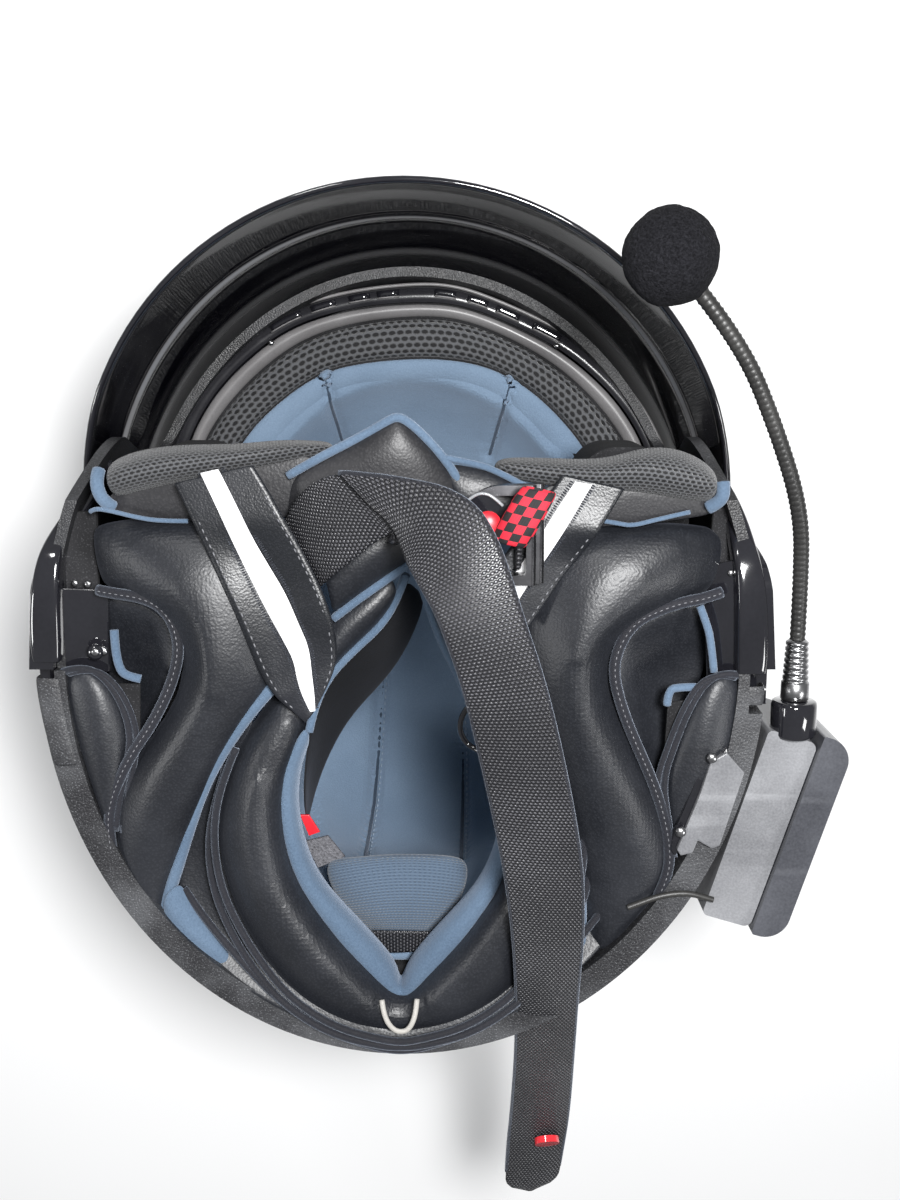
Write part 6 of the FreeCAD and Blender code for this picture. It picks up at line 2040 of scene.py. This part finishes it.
@dataclass
class Shell:
    """Finishes of the rigid pieces that are shown as they are."""

    palette: Palette
    finishes: dict[str, str] = field(default_factory=lambda: {
        "outer_shell": "shell_fleck", "rear_edge_trim": "rim_fleck", "impact_liner": "rough_foam",
        "pivot_plate_left": "pivot_plastic", "pivot_plate_right": "pivot_plastic",
        "cheek_core_left": "rough_foam", "cheek_core_right": "rough_foam",
        "visor_pins": "steel", "visor_lever": "pivot_plastic", "crown_vent": "gloss_black",
        "vent_slider": "pivot_plastic", "rear_vent": "gloss_black", "speaker_left": "pivot_plastic",
        "speaker_right": "pivot_plastic", "snap_button": "snap_red", "snap_socket": "steel",
        "d_ring_lower": "ring_steel", "d_ring_upper": "ring_steel", "intercom_cradle": "unit_matte",
        "intercom_unit": "unit_satin", "call_button": "pivot_plastic", "control_dial": "pivot_plastic",
        "microphone": "steel", "speaker_cable": "cable_rubber"})

    def build(self) -> None:
        """Dress every rigid node, then add the side trims."""
        for node, finish in self.finishes.items():
            dressed(node, self.palette[finish])
            log.info("node %s has %s", node, finish)
        self._covers()
        self._visor()
        self._trims()
        self._corners()

    def _covers(self) -> None:
        """Side covers whose front ends follow the shell's curve."""
        start, squeeze = 0.020, 0.70
        half_width, half_length, middle_y = 0.1305, 0.151, 0.003
        for side in Side:
            name = "side_cover_" + side.name.lower()
            mesh = bmesh.new()
            mesh.from_mesh(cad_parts[name].data)
            for vert in mesh.verts:
                if vert.co.y > start:
                    past = (vert.co.y - start) * squeeze
                    vert.co.y = start + past
                    bend = half_width * (1 - math.sqrt(1 - ((vert.co.y - middle_y) / half_length) ** 2))
                    vert.co.x -= side.value * (bend + max(0.0, past - 0.02) * 0.12)
            cover = finished(name + "_form", mesh, self.palette["gloss_black"], smooth=False)
            put(cover, "helmet", "gloss_black", name)

    def _visor(self) -> None:
        """Sun visor in its slot, with its free edge level with the brow trim."""
        mesh = bmesh.new()
        mesh.from_mesh(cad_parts["sun_visor"].data)
        brow, kept = 0.092, 0.18
        for vert in mesh.verts:
            if vert.co.z > brow:
                vert.co.z = brow + (vert.co.z - brow) * kept
        put(finished("sun_visor_form", mesh, self.palette["smoke_visor"], smooth=False), "sun_visor",
            "smoke_visor", "sun_visor")

    def _trims(self) -> None:
        """Gloss bars round the shell's front corners, from the shield to the rim trim."""
        bars = {
            Side.RIGHT: table("""
                -110.9,75.2,204 -109.9,72.2,204
                -113.6,69.8,210 -111.4,63.5,210
                -117.4,64.5,216 -113.3,59,216
                -121.3,58.5,224 -116.5,53.8,224
                -125.4,50.9,232 -119.1,49.5,232
                -128.2,44.3,238 -119.8,44.3,238
                -130.2,36.5,240 -120.3,37.2,240
                -131.4,28.4,241 -120.5,28.4,241
                -132.5,16.9,241 -120.8,16.9,241
                -132.2,4.6,241 -121.2,4.6,241"""),
            Side.LEFT: table("""
                112.4,76.7,204 111,73,204
                115.1,72.8,210 113.4,67.6,210
                118.4,67.8,216 115,62.3,216
                121.3,61.4,224 115.4,56.7,224
                123.4,54.2,232 116.1,50.6,232
                125.2,46.1,238 116.5,44,238
                127.6,38.3,240 117.4,37.2,240
                129.2,28.4,241 117.9,28.4,241
                130.5,15.1,241 118.5,15.1,241
                130.2,0.2,241 118.8,0.2,241""")}
        down, lift = Vector((0.0, 0.0, 9.0)), Vector((0.0, 0.0, 0.8))
        for side, pairs in bars.items():
            ribs = []
            for outer, inner in pairs:
                first, last = Vector(outer), Vector(inner)
                rib = [first - down, first - down * 0.15, first.lerp(last, 0.08) + lift * 0.6,
                       first.lerp(last, 0.3) + lift, first.lerp(last, 0.75) + lift,
                       first.lerp(last, 0.93) + lift * 0.6, last - down * 0.15, last - down]
                ribs.append([point * MM for point in rib])
            self._tail(side)
            bar = Loft("side_trim_" + side.name.lower(), ribs).done(self.palette["gloss_black"])
            put(smoothed(bar, 3, 1.2), "helmet", "gloss_black")

    def _tail(self, side: Side) -> None:
        """Rim trim between a gloss bar's end and the CAD trim behind it."""
        pairs = {Side.RIGHT: table("""
            -131.4,-0.2,241 -121.5,-0.2,241
            -130.6,-10.5,241 -120.6,-10.5,241
            -128.8,-21.7,241 -119.1,-21.7,241
            -126.3,-34,241 -116.5,-33.3,241"""),
                 Side.LEFT: table("""
                     130.3,-3.9,239.6 120,-3.9,239.6
                     130.2,-7.6,239.6 119.8,-7.6,239.6
                     130,-11.3,239.6 119.6,-11.3,239.6""")}[side]
        down = Vector((0.0, 0.0, 10.0))
        ribs = []
        for outer, inner in pairs:
            first, last = Vector(outer), Vector(inner)
            rib = (first - down, first - down * 0.1, first.lerp(last, 0.1) + down * 0.06,
                   first.lerp(last, 0.9) + down * 0.06, last - down * 0.1, last - down)
            ribs.append([point * MM for point in rib])
        tail = Loft("rim_tail_" + side.name.lower(), ribs).done(self.palette["rim_fleck"])
        put(smoothed(tail, 2, 1.2), "helmet", "rim_trim")

    def _corners(self) -> None:
        """What shows between the side trims and the pads: plates, foam, studs and screws."""
        plates = {
            "corner_plate_right": ("gloss_black", [(-121.1, 31.1, 236), (-105.6, 29.6, 232),
                                                   (-106.4, -0.6, 232), (-122.9, -0.4, 236)]),
            "corner_foam_right": ("rough_foam", [(-120.3, 57.5, 230), (-109.5, 57.2, 228),
                                                 (-110.2, 28.9, 228), (-123, 30, 230)]),
            "corner_plate_left": ("gloss_black", [(118.8, 41.2, 236), (107.7, 38.3, 232), (110.7, -3.6, 232),
                                                  (120.7, -3.3, 236)]),
            "corner_foam_left": ("rough_foam", [(115.5, 59.7, 228), (111.6, 59.5, 226), (110.4, 35.1, 226),
                                                (120, 37.7, 228)])}
        for name, (finish, outline) in plates.items():
            put(plate(name, outline, 3.0, self.palette[finish], 0.5), "helmet", "gloss_black")
        studs = (((-116.1, 32.9, 236), 1.2), ((-111.5, 32.5, 236), 1.3), ((-109.7, 8.2, 238), 3.0),
                 ((-107.1, 8.4, 237), 1.8), ((116.6, 36.5, 236), 1.2))
        for number, (spot, radius) in enumerate(studs):
            put(ball("corner_stud_%d" % number, spot, (radius, radius, radius * 0.6),
                     self.palette["gloss_black" if radius > 2.5 else "steel"]), "helmet", "screw_steel")
        put(ball("corner_screw_head", (-109, 8.8, 240.4), (1.5, 1.5, 0.8), self.palette["steel"]), "helmet",
            "screw_steel")
        bits = {
            "ear_edge_right": (trace("""
                -102.5,16.3,238 -102.5,9.7,238 -101.4,2.4,238 -99.1,-0.6,238 -93.8,-1.7,238"""), 1.6),
            "ear_edge_left": ([(105.6, 25, 238), (108, 19.2, 238), (110, 12.6, 238), (111.5, 0.9, 238)], 1.4),
            "ear_edge_left_low": ([(95.1, -11.3, 238), (95.1, -5.5, 239), (99.4, -4.4, 239),
                                   (105.6, -4.7, 238)], 1.5)}
        for name, (points, radius) in bits.items():
            put(tube(name, metres(points), radius, self.palette["edge_knit"], 0.9), "helmet", "liner_fabric")
        hooks = {"hook_tape_right": [(-102.4, -3.8, 237), (-94.4, -3.8, 237), (-95.5, -26.3, 237),
                                     (-100.5, -26.3, 237)],
                 "hook_tape_left": [(95.6, -10.9, 237), (102.4, -9.8, 237), (102, -30.8, 237),
                                    (94.8, -32.3, 237)]}
        for name, outline in hooks.items():
            put(plate(name, outline, 1.2, self.palette["rough_foam"], 0.3), "helmet", "leatherette")


def main() -> None:
    """Build every sub-assembly in order."""
    logging.basicConfig(level=logging.INFO, format="%(message)s")
    palette = Palette()
    Studio().build()
    Shell(palette).build()
    FaceShield(palette).build()
    Liner(palette).build()
    pads = CheekPads(palette).build()
    roll = NeckRoll(palette).build()
    laps = ChinFlap(palette).build()
    Straps(palette, Ground(pads + roll + laps)).build()
    Intercom(palette).build()


if __name__ == "__main__":
    main()
